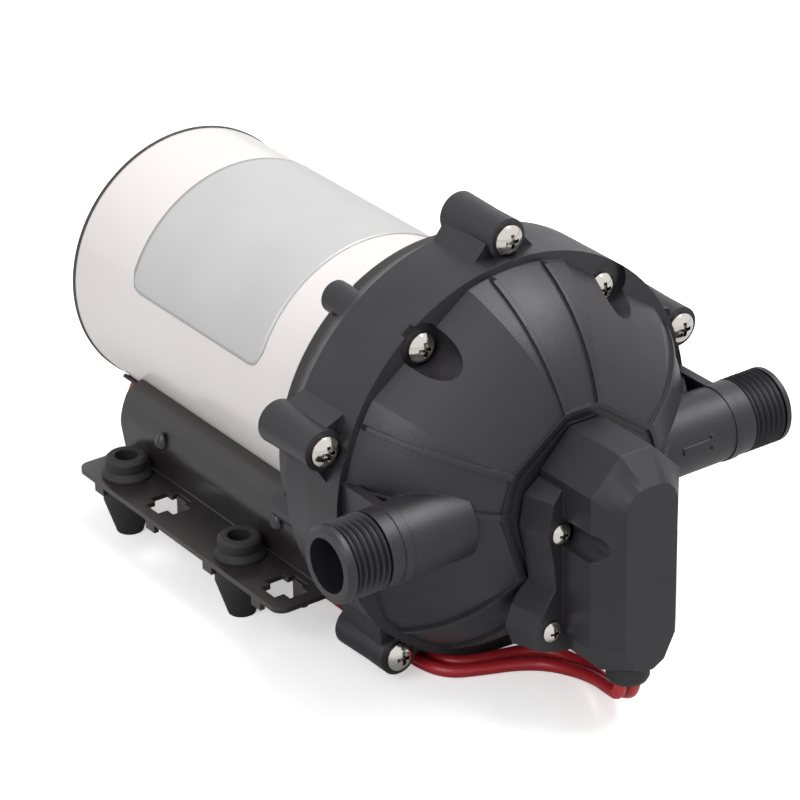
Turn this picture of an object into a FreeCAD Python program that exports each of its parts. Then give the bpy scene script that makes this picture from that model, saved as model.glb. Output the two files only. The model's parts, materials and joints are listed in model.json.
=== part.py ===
import FreeCAD, Part
import math
import os

import Sketcher

# Twelve-volt pressure pump for a caravan: five-chamber diaphragm head, motor, base and pressure switch.
# Frame: X to the outlet port, Y from the head to the rear of the motor, Z up.
# The origin is on the floor, at the middle of the four rubber feet.

V = FreeCAD.Vector
doc = FreeCAD.newDocument("pump")
sheet = doc.addObject("Spreadsheet::Sheet", "Sizes")

SIZES = [
    # standing and stations along the pump axis
    ("flange_height", 17.2, "middle of the flange above the floor"),
    ("lug_face_y", -86.8, "front face of the five screw lugs"),
    ("upper_lug", 8.8, "lug length in the upper housing"),
    ("lower_lug", 12.0, "lug length in the lower housing"),
    ("wall_depth", 10.6, "straight wall of the lower housing"),
    ("cone_depth", 10.4, "stepped cone behind that wall"),
    ("fit_gap", 0.1, "clearance between fitted pieces"),
    ("seat_gap", 0.3, "clearance of a curved seat"),
    # upper housing
    ("housing_radius", 57.5, "outer wall of both housings"),
    ("lug_outset", 4.0, "lug screws outside the housing wall"),
    ("lug_radius", 5.7, "lug at the screw head"),
    ("lug_tail_radius", 6.1, "lug at its back end"),
    ("web_reach", 9.5, "half width of the wall beside a lug"),
    ("rim_rise", 3.7, "rim of the dome in front of the lug face"),
    ("dome_inset", 2.4, "flat rim round the dome"),
    ("nose_radius", 26.0, "radius of the flat nose"),
    ("nose_rise", 31.5, "nose in front of the lug face"),
    ("dome_curve", 50.5, "radius of the dome's profile"),
    ("lobe_rim", 3.3, "depth of a lobe's flat at the rim"),
    ("lobe_nose", 2.3, "depth of a lobe's flat at the nose"),
    ("dome_wall", 3.2, "wall of the dome"),
    ("ledge", 2.0, "seat of the valve plate in the dome"),
    ("rib_rise", 0.9, "ribs above the dome"),
    ("rib_width", 1.4, "width of a rib"),
    ("spoke_inner", 5.3, "half width of a spoke at the nose"),
    ("spoke_outer", 8.6, "half width of a spoke at the rim"),
    ("nose_step", 2.6, "width of the ledge round the nose"),
    ("central_radius", 24.4, "inside of the outlet chamber's wall"),
    ("central_wall", 3.2, "wall of the outlet chamber"),
    # ports
    ("port_reach", 72.8, "tip of a port from the pump axis"),
    ("port_rise", 21.1, "port axis in front of the lug face"),
    ("port_bore", 7.4, "bore radius of a port"),
    ("port_core", 9.3, "pipe radius under the thread"),
    ("thread_radius", 10.4775, "crest radius of the half inch pipe thread"),
    ("thread_pitch", 1.814, "fourteen threads to the inch"),
    ("thread_count", 6, "crests on a port"),
    ("port_nose", 2.3, "plain nose in front of the thread"),
    ("nose_bevel", 0.9, "bevel at the tip of a port"),
    ("port_pipe", 10.35, "radius of a port behind its thread"),
    ("pipe_root", 0.5, "root of the outlet pipe in the chamber's wall"),
    ("collar_place", 52.8, "collar of a port from the pump axis"),
    ("collar_thick", 2.8, "collar and gusset of a port"),
    ("gusset_half", 10.2, "half height of the gusset behind a port"),
    # inner screws and their posts
    ("post_inset", 7.76, "inner screws inside the housing wall"),
    ("post_radius", 4.55, "post behind an inner screw"),
    ("post_tail", 6.0, "post behind the front plate's face"),
    ("pocket_radius", 6.2, "scalloped pocket round an inner screw"),
    ("pocket_shift", 1.8, "middle of a pocket outside its screw"),
    # screws
    ("big_head", 4.15, "head radius of the large screws"),
    ("big_shank", 2.2, "shank radius of the large screws"),
    ("head_height", 2.7, "height of a large head"),
    ("lug_screw", 18.0, "shank length of a lug screw"),
    ("inner_seat", 1.8, "seat of an inner screw in front of the lug face"),
    ("post_screw", 21.8, "shank length of an inner screw"),
    ("small_head", 2.85, "head radius of the switch screws"),
    ("small_shank", 1.5, "shank radius of the switch screws"),
    ("small_head_height", 1.9, "height of a small head"),
    ("switch_screw", 16.0, "shank length of a switch screw"),
    # lower housing, diaphragm and valves
    ("housing_wall", 3.0, "wall of the lower housing"),
    ("support_thick", 2.5, "plate that carries the diaphragm"),
    ("pack_inset", 13.7, "diaphragm and valve plate inside the housing wall"),
    ("diaphragm_thick", 1.5, "rubber sheet"),
    ("chamber_circle", 30.0, "pistons from the pump axis"),
    ("chamber_radius", 12.0, "radius of a pump chamber"),
    ("valve_thick", 8.7, "thickness of the valve plate"),
    ("chamber_depth", 5.0, "chamber in the valve plate"),
    ("inlet_circle", 34.0, "inlet valves from the pump axis"),
    ("umbrella_radius", 5.6, "rim of an inlet valve"),
    ("flap_radius", 23.2, "rim of the outlet valve"),
    ("outlet_circle", 21.3, "outlet holes from the pump axis"),
    # wobble drive
    ("tilt", 2.5, "tilt of the wobble plate in degrees"),
    ("piston_radius", 8.0, "disc that grips the diaphragm"),
    ("disc_gap", 0.4, "gap that the tilt takes up at a piston"),
    ("wobble_bore", 7.5, "bore radius of the wobble bearing"),
    ("wobble_outer", 16.0, "outer radius of the wobble bearing"),
    ("wobble_width", 9.0, "width of the wobble bearing"),
    ("wobble_back", 5.25, "wobble bearing behind the diaphragm"),
    ("hub_wall", 4.5, "ring of the wobble plate round its bearing"),
    # motor
    ("plate_thick", 3.0, "front plate of the motor"),
    ("plate_reach", 11.18, "front plate past the motor can"),
    ("can_spare", 55.3, "motor can longer than its armature core"),
    ("can_radius", 39.32, "outside of the motor can"),
    ("can_wall", 2.2, "wall of the motor can"),
    ("rim_thick", 1.0, "black rim at the rear"),
    ("rim_over", 0.3, "rim past the can"),
    ("label_place", 28.0, "label behind the front end of the can"),
    ("label_length", 65.0, "label along the can"),
    ("label_start", 16.0, "edge of the label above the side of the can, in degrees"),
    ("cap_thick", 2.5, "rear cap"),
    ("shaft_radius", 4.0, "motor shaft"),
    ("bearing_outer", 11.0, "outer radius of the motor bearings"),
    ("bearing_width", 7.0, "width of the motor bearings"),
    ("magnet_depth", 9.82, "magnets' inner face inside the motor can"),
    ("magnet_spare", 10.0, "magnets longer than the core"),
    ("magnet_front", 12.0, "magnets behind the front plate"),
    ("air_gap", 1.0, "gap between core and magnets"),
    ("core_length", 66.0, "armature core"),
    ("core_front", 18.0, "core behind the front plate"),
    ("slot_width", 3.0, "slot of the armature core"),
    ("slot_depth", 9.0, "slot of the armature core"),
    ("winding_radius", 25.0, "end turns of the winding"),
    ("winding_reach", 9.0, "end turns past the core"),
    ("commutator_radius", 12.0, "commutator"),
    ("commutator_length", 16.0, "commutator"),
    ("commutator_gap", 3.0, "commutator behind the end turns"),
    ("brush_length", 14.0, "carbon brush"),
    ("brush_width", 8.0, "carbon brush along the shaft"),
    ("brush_height", 6.0, "carbon brush across the shaft"),
    ("brush_wall", 1.2, "wall of a brush box"),
    ("spring_room", 6.0, "room behind a brush"),
    ("holder_thick", 2.5, "brush holder plate"),
    ("bolt_inset", 5.92, "through bolts inside the motor can"),
    ("bolt_radius", 2.0, "shank of a through bolt"),
    # base
    ("foot_outset", 8.68, "feet outside the motor can"),
    ("foot_half_y", 29.0, "feet from the middle along"),
    ("sheet_thick", 1.5, "steel of the base"),
    ("flange_below", 2.48, "middle of the flange below the motor can"),
    ("flange_outset", 17.68, "edges of the base outside the motor can"),
    ("base_front", -61.0, "front edge of the base"),
    ("base_rear", 42.0, "rear edge of the base"),
    ("corner_radius", 3.5, "corner of a flange"),
    ("wing_foot", 1.002, "inner edge of a flange over the can's radius"),
    ("wing_low", 0.928, "depth of a wing's lower bend over the can's radius"),
    ("wing_bulge", 1.043, "widest point of a wing over the can's radius"),
    ("wing_middle", 0.801, "depth of that point over the can's radius"),
    ("wing_neck", 0.966, "upper bend of a wing over the can's radius"),
    ("wing_high", 0.575, "depth of that bend over the can's radius"),
    ("saddle_end", 212.0, "angle at which the sheet leaves the motor"),
    ("foot_hole", 4.6, "hole for a foot in the flange"),
    ("foot_top", 35.0, "top of a foot below the pump axis"),
    ("foot_collar", 6.1, "collar of a foot"),
    ("foot_skirt", 7.25, "skirt of a foot above the flange"),
    ("foot_body", 7.2, "foot under the flange"),
    ("foot_base", 3.9, "foot at the floor"),
    ("foot_bore", 2.25, "screw hole through a foot"),
    ("foot_counterbore", 3.35, "hole for the screw head in a foot"),
    ("counterbore_depth", 15.0, "hole for the screw head in a foot"),
    # pressure switch
    ("box_half", 14.3, "half width of the switch cover"),
    ("box_top", 22.7, "top of the switch cover above the axis"),
    ("box_bottom", 39.2, "bottom of the switch cover below the axis"),
    ("box_depth", 21.8, "full section of the cover in front of the nose"),
    ("box_front", 28.7, "front face of the cover in front of the nose"),
    ("front_half", 8.3, "half width of the front face"),
    ("cover_wall", 2.0, "wall of the switch cover"),
    ("ear_rise", 10.7, "ear face in front of the nose"),
    ("upper_screw_x", 15.2, "upper switch screws from the middle"),
    ("upper_screw_z", -0.9, "upper switch screws above the axis"),
    ("lower_screw_x", 18.0, "lower switch screws from the middle"),
    ("lower_screw_z", -28.8, "lower switch screws above the axis"),
    ("notch_radius", 4.2, "notch beside an upper switch screw"),
    ("plunger_radius", 7.2, "flange of the switch plunger"),
    ("stem_radius", 2.5, "stem of the switch plunger"),
    ("plunger_travel", 1.0, "travel of the switch plunger"),
    ("boot_radius", 5.8, "wire boot"),
    ("boot_drop", 44.5, "end of the wire boot below the axis"),
    ("boot_forward", 20.0, "wire boot in front of the nose"),
    # leads
    ("wire_radius", 1.8, "lead over its insulation"),
    ("wire_half_gap", 2.3, "leads from the middle of the boot"),
    ("wire_lift", 0.2, "leads above the floor"),
    ("strand_radius", 1.0, "bare end of the supply lead"),
    ("strand_length", 6.0, "bare end of the supply lead"),
    ("coil_radius", 16.5, "inner turn of the put-away coil"),
    ("coil_pitch", 4.1, "turn to turn in the coil"),
    ("coil_turns", 2, "turns in the coil"),
]


class Size:
    """A size with its formula for the document and its value for shapes made in code."""

    def __init__(self, text, value):
        self.text, self.value = text, value

    def join(self, sign, other, value):
        return Size("(%s %s %s)" % (self.text, sign, other.text), value)

    def __add__(self, other):
        other = size(other)
        return self.join("+", other, self.value + other.value)

    def __sub__(self, other):
        other = size(other)
        return self.join("-", other, self.value - other.value)

    def __mul__(self, other):
        other = size(other)
        return self.join("*", other, self.value * other.value)

    def __truediv__(self, other):
        other = size(other)
        return self.join("/", other, self.value / other.value)

    def __radd__(self, other):
        return size(other) + self

    def __rsub__(self, other):
        return size(other) - self

    def __rmul__(self, other):
        return size(other) * self

    def __neg__(self):
        return Size("(-1 * %s)" % self.text, -self.value)


def size(thing):
    """A plain number becomes a size without a formula."""
    return thing if isinstance(thing, Size) else Size("%.9g" % thing, float(thing))


def sine(angle):
    angle = size(angle)
    return Size("sin(%s)" % angle.text, math.sin(math.radians(angle.value)))


def cosine(angle):
    angle = size(angle)
    return Size("cos(%s)" % angle.text, math.cos(math.radians(angle.value)))


def root(thing):
    return Size("sqrt(%s)" % thing.text, math.sqrt(thing.value))


class Named:
    """Holds every size of the sheet under its own name."""


S = Named()
for row, (alias, value, note) in enumerate(SIZES, 1):
    sheet.set("A%d" % row, alias)
    sheet.set("B%d" % row, str(value))
    sheet.set("C%d" % row, note)
    sheet.setAlias("B%d" % row, alias)
    setattr(S, alias, Size("Sizes." + alias, float(value)))
doc.recompute()

# Sizes that follow from others.
S.lug_circle = S.housing_radius + S.lug_outset
S.post_circle = S.housing_radius - S.post_inset
S.dome_edge = S.housing_radius - S.dome_inset
S.pack_radius = S.housing_radius - S.pack_inset
S.plate_radius = S.can_radius + S.plate_reach
S.can_length = S.core_length + S.can_spare
S.magnet_length = S.core_length + S.magnet_spare
S.magnet_inner = S.can_radius - S.magnet_depth
S.core_radius = S.magnet_inner - S.air_gap
S.bolt_circle = S.can_radius - S.bolt_inset
S.flange_drop = S.can_radius + S.flange_below
S.axis_height = S.flange_drop + S.flange_height
S.foot_half_x = S.can_radius + S.foot_outset
S.flange_half = S.can_radius + S.flange_outset

# Stations along the pump axis, from the screw lugs to the rear of the motor.
SPLIT = S.lug_face_y + S.upper_lug
LUG_END = SPLIT + S.lower_lug
WALL_END = SPLIT + S.wall_depth
CONE_END = WALL_END + S.cone_depth
CAN_FRONT = CONE_END + S.plate_thick
CAN_REAR = CAN_FRONT + S.can_length
RIM = S.lug_face_y - S.rim_rise
NOSE = S.lug_face_y - S.nose_rise
PORT = S.lug_face_y - S.port_rise
DIAPHRAGM = SPLIT - S.diaphragm_thick / 2
VALVE_REAR = SPLIT - S.diaphragm_thick
VALVE_FRONT = VALVE_REAR - S.valve_thick
CAN_INNER = S.can_radius - S.can_wall
AXIS = S.axis_height

FIVE = [90 + 72 * k for k in range(5)]
CHAMBERS = [54 + 72 * k for k in range(5)]
POSTS = [54, 126, 198, 342]

ALONG_Y = FreeCAD.Rotation(V(1, 0, 0), -90)
ALONG_X = FreeCAD.Rotation(V(0, 1, 0), 90)
UPRIGHT = FreeCAD.Rotation()

counter = {}


def fresh(name):
    """A document name that isn't used yet."""
    counter[name] = counter.get(name, 0) + 1
    return "%s_%d" % (name, counter[name])


def bind(thing, field, amount):
    """Gives one field of an object its value, through the sheet where it comes from there."""
    amount = size(amount)
    if "Sizes." in amount.text:
        thing.setExpression(field, amount.text)
    else:
        holder = thing
        for word in field.strip(".").split(".")[:-1]:
            holder = getattr(holder, word)
        setattr(holder, field.split(".")[-1], amount.value)


def place(thing, x=0, y=0, z=0, turn=UPRIGHT):
    """Puts an object at a point, with each coordinate bound to the sheet."""
    point = [size(x), size(y), size(z)]
    thing.Placement = FreeCAD.Placement(V(*[c.value for c in point]), turn)
    for word, c in zip("xyz", point):
        if "Sizes." in c.text:
            thing.setExpression(".Placement.Base." + word, c.text)
    return thing


def cylinder(radius, length, x=0, y=0, z=0, turn=ALONG_Y, name="cylinder"):
    """A cylinder from the point along the turned Z axis."""
    c = doc.addObject("Part::Cylinder", fresh(name))
    bind(c, "Radius", radius)
    bind(c, "Height", length)
    return place(c, x, y, z, turn)


def cone(radius, end_radius, length, x=0, y=0, z=0, turn=ALONG_Y, name="cone"):
    c = doc.addObject("Part::Cone", fresh(name))
    bind(c, "Radius1", radius)
    bind(c, "Radius2", end_radius)
    bind(c, "Height", length)
    return place(c, x, y, z, turn)


def box(low, high, name="box"):
    """A box between two corners, each a triple of sizes."""
    b = doc.addObject("Part::Box", fresh(name))
    low = [size(c) for c in low]
    high = [size(c) for c in high]
    for word, a, c in zip(("Length", "Width", "Height"), low, high):
        bind(b, word, c - a)
    return place(b, *low)


def torus(ring, section, x=0, y=0, z=0, turn=ALONG_Y, name="torus"):
    t = doc.addObject("Part::Torus", fresh(name))
    bind(t, "Radius1", ring)
    bind(t, "Radius2", section)
    return place(t, x, y, z, turn)


def ball(radius, x, y, z, name="ball"):
    b = doc.addObject("Part::Sphere", fresh(name))
    bind(b, "Radius", radius)
    return place(b, x, y, z)


def fuse(things, name="fuse"):
    f = doc.addObject("Part::MultiFuse", fresh(name))
    f.Shapes = things
    return f


def cut(base, tools, name="cut"):
    c = doc.addObject("Part::Cut", fresh(name))
    c.Base = base
    c.Tool = tools[0] if len(tools) == 1 else fuse(tools)
    return c


def common(base, tool, name="common"):
    c = doc.addObject("Part::Common", fresh(name))
    c.Base = base
    c.Tool = tool
    return c


def made(shape, name="made"):
    """A shape from code, where no primitive or sketch fits."""
    f = doc.addObject("Part::Feature", fresh(name))
    f.Shape = shape
    return f


def ring_place(radius, angle):
    """A point on a circle round the pump axis, in X and Z."""
    return radius * cosine(angle), AXIS + radius * sine(angle)


def outline(sketch, points):
    """A closed outline: each point is (across, along) or has the radius of the arc that leads to it.

    A positive radius has its centre on the left of the way, a negative one on the right.
    """
    flat = [[size(c) for c in p] for p in points]
    count = len(flat)
    ends = []
    for k in range(count):
        p, q = flat[k], flat[(k + 1) % count]
        a, b = V(p[0].value, p[1].value, 0), V(q[0].value, q[1].value, 0)
        if len(q) == 2:
            sketch.addGeometry(Part.LineSegment(a, b), False)
            ends.append((1, 2))
            continue
        radius = abs(q[2].value)
        way = b - a
        side = V(-way.y, way.x, 0) * (math.copysign(1, q[2].value) / way.Length)
        centre = (a + b) * 0.5 + side * math.sqrt(radius ** 2 - way.Length ** 2 / 4)
        first, last = (a, b) if q[2].value > 0 else (b, a)
        angles = [math.atan2(e.y - centre.y, e.x - centre.x) for e in (first, last)]
        sketch.addGeometry(Part.ArcOfCircle(Part.Circle(centre, V(0, 0, 1), radius), *angles), False)
        ends.append((1, 2) if q[2].value > 0 else (2, 1))
    for k in range(count):
        after = (k + 1) % count
        sketch.addConstraint(Sketcher.Constraint("Coincident", k, ends[k][1], after, ends[after][0]))
        for word, c in zip(("DistanceX", "DistanceY"), flat[k][:2]):
            if c.value == 0 and "Sizes." not in c.text:
                line = -2 if word == "DistanceX" else -1
                sketch.addConstraint(Sketcher.Constraint("PointOnObject", k, ends[k][0], line))
                continue
            row = sketch.addConstraint(Sketcher.Constraint(word, -1, 1, k, ends[k][0], c.value))
            if "Sizes." in c.text:
                sketch.setExpression("Constraints[%d]" % row, c.text)
        q = flat[after]
        if len(q) == 3:
            row = sketch.addConstraint(Sketcher.Constraint("Radius", k, abs(q[2].value)))
            if "Sizes." in q[2].text:
                sketch.setExpression("Constraints[%d]" % row, q[2].text if q[2].value > 0 else (-q[2]).text)


def sketched(points, plane, name):
    """A body with one sketch on one of its own planes."""
    body = doc.addObject("PartDesign::Body", fresh(name))
    sketch = body.newObject("Sketcher::SketchObject", fresh(name + "_outline"))
    face = [f for f in body.Origin.OriginFeatures if f.Role == plane][0]
    sketch.AttachmentSupport = [(face, "")]
    sketch.MapMode = "FlatFace"
    outline(sketch, points)
    return body, sketch


def turned(points, name="turned", x=0, y=0, z=AXIS, plane="XY_Plane", angle=None):
    """A body turned on its upright sketch axis: points are (radius, station)."""
    body, sketch = sketched(points, plane, name)
    turn = body.newObject("PartDesign::Revolution", fresh(name + "_turn"))
    turn.Profile = sketch
    turn.ReferenceAxis = (sketch, ["V_Axis"])
    turn.Angle = angle or 360
    return place(body, x, y, z)


def raised(points, length, name="raised", x=0, y=0, z=0, plane="XZ_Plane"):
    """A body padded from its outline: along -Y from the XZ plane, and up from the XY plane."""
    body, sketch = sketched(points, plane, name)
    pad = body.newObject("PartDesign::Pad", fresh(name + "_pad"))
    pad.Profile = sketch
    bind(pad, "Length", length)
    return place(body, x, y, z)


def around(make, angles):
    """One object for each angle round the pump axis."""
    return [make(angle) for angle in angles]


parts = {}


def part(name, thing):
    """Names a finished sub-part."""
    thing.Label = name
    parts[name] = thing
    return thing


def group(name, things):
    """One node of separate equal pieces."""
    c = doc.addObject("Part::Compound", fresh(name))
    c.Links = things
    return part(name, c)


# Screws: a domed head with a cross recess, and a plain shank.
def screw(head, height, shank, length, x, y, z, name="screw"):
    """A pan-head screw whose shank runs to the rear from the seat at y."""
    drop = height * 0.65
    crown = (head * head + drop * drop) / (drop * 2)
    dome = turned([(0, 0), (head, 0), (head, drop - height), (0, -height, -crown)],
                  name + "_head", x, y, z)
    recess = [box((x - head * w, y - height * 1.2, z - head * (0.62 - w)),
                  (x + head * w, y - height * 0.45, z + head * (0.62 - w)), name + "_recess")
              for w in (0.13, 0.49)]
    body = fuse([dome, cylinder(shank, length, x, y, z, name=name + "_shank")])
    return cut(body, recess, name)


# Dome: a turned shell whose profile is one arc from the rim to the nose.
def dome_side(offset):
    """The dome's profile as points: the arc's ends, moved out by the offset from its centre."""
    half_x = (S.dome_edge - S.nose_radius) / 2
    half_y = (S.nose_rise - S.rim_rise) / 2
    half = root(half_x * half_x + half_y * half_y)
    reach = root(S.dome_curve * S.dome_curve - half * half)
    middle_x = S.nose_radius + half_x - reach * half_y / half
    middle_y = S.lug_face_y - (S.rim_rise + half_y - reach * half_x / half)
    curve = S.dome_curve + offset
    return middle_x, middle_y, curve


def on_dome(radius, offset=0):
    """The station of the dome's surface at a radius."""
    middle_x, middle_y, curve = dome_side(offset)
    across = radius - middle_x
    return middle_y - root(curve * curve - across * across)


def dome_solid(offset, rear, edge, name):
    """The dome filled: from the arc moved by the offset back to a flat rear face."""
    middle_x, middle_y, curve = dome_side(offset)
    return turned([(0, rear), (edge, rear), (edge, on_dome(edge, offset)),
                   (S.nose_radius, on_dome(S.nose_radius, offset), -curve),
                   (0, on_dome(S.nose_radius, offset))], name)


def lobe_flat(angle, offset, rear, name):
    """All that lies inside one lobe's flat: the dome's arc, moved to the lobe, square to its middle."""
    rise = S.rim_rise - offset
    near, far = S.nose_radius - S.lobe_nose + offset * 0.2, S.dome_edge - S.lobe_rim + offset
    front = S.lug_face_y - S.nose_rise - offset
    half_x, half_y = (far - near) / 2, (S.nose_rise + offset - rise) / 2
    half = root(half_x * half_x + half_y * half_y)
    reach = root(S.dome_curve * S.dome_curve - half * half)
    middle = V((near + half_x - reach * half_y / half).value, 0,
               (S.lug_face_y - (rise + half_y - reach * half_x / half)).value)
    rim_point, nose_point = V(far.value, 0, (S.lug_face_y - rise).value), V(near.value, 0, front.value)
    between = (rim_point + nose_point) * 0.5 - middle
    top = middle + between.normalize() * S.dome_curve.value
    corners = [V(near.value, 0, front.value), V(-70, 0, front.value), V(-70, 0, rear.value),
               V(far.value, 0, rear.value),
               rim_point]
    edges = [Part.LineSegment(a, b).toShape() for a, b in zip(corners, corners[1:])]
    edges.append(Part.Arc(rim_point, top, nose_point).toShape())
    body = Part.Face(Part.Wire(edges)).extrude(V(0, 150, 0))
    body.translate(V(0, -75, 0))
    body.rotate(V(0, 0, 0), V(1, 0, 0), -90)
    body.rotate(V(0, 0, 0), V(0, 1, 0), -angle)
    body.translate(V(0, 0, AXIS.value))
    return made(body, name)


def spoke_slab(angle, side):
    """A thin upright slab along one edge of a spoke, wide as a rib."""
    inner, outer = S.nose_radius - 1.5, S.housing_radius
    out = V(math.cos(math.radians(angle)), 0, math.sin(math.radians(angle)))
    across = V(-out.z, 0, out.x) * side
    corners = []
    for radius, reach in ((inner, S.spoke_inner), (outer, S.spoke_outer)):
        for edge in (-0.5, 0.5):
            corners.append(out * radius.value + across * (reach.value + edge * S.rib_width.value))
    corners = [corners[0], corners[1], corners[3], corners[2]]
    wire = Part.makePolygon(corners + corners[:1])
    slab = Part.Face(wire).extrude(V(0, RIM.value - NOSE.value + 10, 0))
    slab.translate(V(0, NOSE.value - 5, AXIS.value))
    return slab


def nose_polygon(radius, reach):
    """The ten corners of the nose: two on each spoke."""
    corners = []
    for angle in FIVE:
        out = V(math.cos(math.radians(angle)), 0, math.sin(math.radians(angle)))
        across = V(-out.z, 0, out.x)
        corners += [out * radius - across * reach, out * radius + across * reach]
    return corners


def nose_prism(radius, reach, front, rear):
    """The nose polygon between two stations."""
    corners = nose_polygon(radius, reach)
    face = Part.Face(Part.makePolygon(corners + corners[:1]))
    prism = face.extrude(V(0, rear - front, 0))
    prism.translate(V(0, front, AXIS.value))
    return prism


def lug_web(angle, front, depth, name):
    """The wall that joins a lug to the round housing, square to the pump axis."""
    side = S.web_reach
    foot = root(S.housing_radius * S.housing_radius - side * side)
    body = raised([(foot - 6, -side - 3), (foot, -side), (S.lug_circle, -S.lug_radius + 0.2),
                   (S.lug_circle, S.lug_radius - 0.2), (foot, side), (foot - 6, side + 3)],
                  depth, name)
    place(body, 0, front + depth, AXIS, FreeCAD.Rotation(V(0, 1, 0), -angle))
    return body


def port_collar(side):
    """The collar behind a thread, with the gusset plate that ties it to the rim."""
    near = side * (S.collar_place + (0 if side > 0 else S.collar_thick))
    ends = sorted([side * S.collar_place, side * (S.collar_place + S.collar_thick)], key=lambda e: e.value)
    return [cylinder(S.port_pipe + 0.3, S.collar_thick, near, PORT, AXIS, ALONG_X, "collar"),
            box((ends[0], PORT, AXIS - S.gusset_half), (ends[1], S.lug_face_y + 2, AXIS + S.gusset_half),
                "gusset")]


def port(side, start):
    """One port, solid, from inside the dome to its tip: pipe, thread core, crests and nose."""
    tip = S.port_reach
    turn = FreeCAD.Rotation(V(0, 1, 0), 90 * side)
    thread_end = tip - S.port_nose - S.thread_pitch * S.thread_count
    pieces = [cylinder(S.port_pipe, thread_end - start, side * start, PORT, AXIS, turn, "port_pipe"),
              cylinder(S.port_core, tip - thread_end + 1, side * (thread_end - 1), PORT, AXIS, turn,
                       "port_core"),
              cylinder(S.thread_radius, S.port_nose - S.nose_bevel, side * (tip - S.port_nose), PORT, AXIS,
                       turn, "port_nose"),
              cone(S.thread_radius, S.port_core + 0.1, S.nose_bevel, side * (tip - S.nose_bevel), PORT, AXIS,
                   turn, "port_tip")]
    for k in range(int(S.thread_count.value)):
        near = tip - S.port_nose - S.thread_pitch * (k + 0.5)
        flank = S.thread_radius - S.port_core + 0.2
        for direction in (1, -1):
            crest = cone(S.thread_radius, S.thread_radius - flank, S.thread_pitch * 0.5,
                         side * near, PORT, AXIS,
                         FreeCAD.Rotation(V(0, 1, 0), 90 * side * direction), "thread_crest")
            pieces.append(crest)
    return pieces


INLET_END = S.central_radius + S.central_wall + 5.4
outer = dome_solid(0, SPLIT, S.dome_edge, "dome")
for angle in CHAMBERS:
    outer = common(outer, lobe_flat(angle, size(0), SPLIT + 1, "lobe"), "lobed_dome")
rim = cylinder(S.housing_radius, SPLIT - RIM, 0, RIM, AXIS, name="rim")
ribs_body = dome_solid(S.rib_rise, SPLIT, S.dome_edge, "rib_body")
slabs = made(Part.makeCompound([spoke_slab(a, s) for a in FIVE for s in (1, -1)]), "spoke_slabs")
ribs = common(ribs_body, slabs, "ribs")
NOSE_RIM = S.nose_radius * cosine(11.5)
nose_frame = cut(made(nose_prism(NOSE_RIM.value + 0.7, S.spoke_inner.value + 0.3,
                                 NOSE.value - S.rib_rise.value, NOSE.value + 4), "nose_frame"),
                 [made(nose_prism(NOSE_RIM.value - 0.7, S.spoke_inner.value - 0.3,
                                  NOSE.value - 3, NOSE.value - 0.01), "nose_field")])
nose_pad = made(nose_prism(NOSE_RIM.value - S.nose_step.value, S.spoke_inner.value - 0.6,
                           NOSE.value - S.rib_rise.value / 2, NOSE.value + 2), "nose_pad")
lug_fronts = around(lambda a: cylinder(S.lug_radius, S.upper_lug, ring_place(S.lug_circle, a)[0],
                                       S.lug_face_y, ring_place(S.lug_circle, a)[1], name="lug"), FIVE)
upper_webs = around(lambda a: lug_web(a, S.lug_face_y + 1.5, S.upper_lug - 1.5, "upper_web"), FIVE)
SWITCH_SCREWS = [(side * sx, sz) for side in (1, -1)
                 for sx, sz in ((S.upper_screw_x, S.upper_screw_z), (S.lower_screw_x, S.lower_screw_z))]
EAR_FACE = NOSE - S.ear_rise
SCREW_END = EAR_FACE + S.switch_screw
posts_in = [cylinder(3.6, SCREW_END - NOSE + 2.4, x, NOSE - 0.4, AXIS + z, name="switch_post")
            for x, z in SWITCH_SCREWS]
inside = dome_solid(-S.dome_wall, VALVE_FRONT, S.pack_radius - S.ledge, "inside")
for angle in CHAMBERS:
    inside = common(inside, lobe_flat(angle, -S.dome_wall, VALVE_FRONT + 1, "lobe"), "lobed_inside")
chamber_wall = cut(cylinder(S.central_radius + S.central_wall, VALVE_FRONT - 0.4 - NOSE - 2,
                            0, NOSE + 2, AXIS),
                   [cylinder(S.central_radius, 60, 0, NOSE - 5, AXIS)], "chamber_wall")
shell = cut(fuse([outer, rim, ribs, nose_frame, nose_pad] + lug_fronts + upper_webs),
            [inside, cylinder(S.pack_radius + S.fit_gap * 2, 30, 0, VALVE_FRONT - 0.01, AXIS)], "shell")
walls = fuse([shell, chamber_wall] + posts_in, "walls")
one_port = fuse([walls] + port(1, S.central_radius + S.pipe_root) + port_collar(1), "one_port")
filled = fuse([one_port] + port(-1, INLET_END) + port_collar(-1), "filled")
nose_room = cylinder(S.central_radius, VALVE_FRONT - NOSE - S.dome_wall, 0, NOSE + S.dome_wall, AXIS)
outlet_bore = cylinder(S.port_bore, S.port_reach + 1 - S.central_radius + 4,
                       S.central_radius - 4, PORT, AXIS, ALONG_X, "outlet_bore")
inlet_bore = cylinder(S.port_bore, S.port_reach + 2 - INLET_END, -S.port_reach - 1, PORT, AXIS, ALONG_X,
                      "inlet_bore")
screw_holes = around(lambda a: cylinder(S.big_shank + S.fit_gap, 40, ring_place(S.lug_circle, a)[0],
                                        S.lug_face_y - 5, ring_place(S.lug_circle, a)[1]), FIVE)
post_holes = around(lambda a: cylinder(S.big_shank + S.fit_gap, 40, ring_place(S.post_circle, a)[0],
                                       S.lug_face_y - 5, ring_place(S.post_circle, a)[1]), POSTS)
pockets = around(lambda a: cylinder(S.pocket_radius, 40, ring_place(S.post_circle + S.pocket_shift, a)[0],
                                    S.lug_face_y - S.inner_seat - 40,
                                    ring_place(S.post_circle + S.pocket_shift, a)[1]), POSTS)
switch_holes = [cylinder(S.small_shank + S.fit_gap, S.switch_screw + 0.4, x, EAR_FACE, AXIS + z)
                for x, z in SWITCH_SCREWS]
pressure_hole = cylinder(5.0, 12, 0, NOSE - 4, AXIS)
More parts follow.
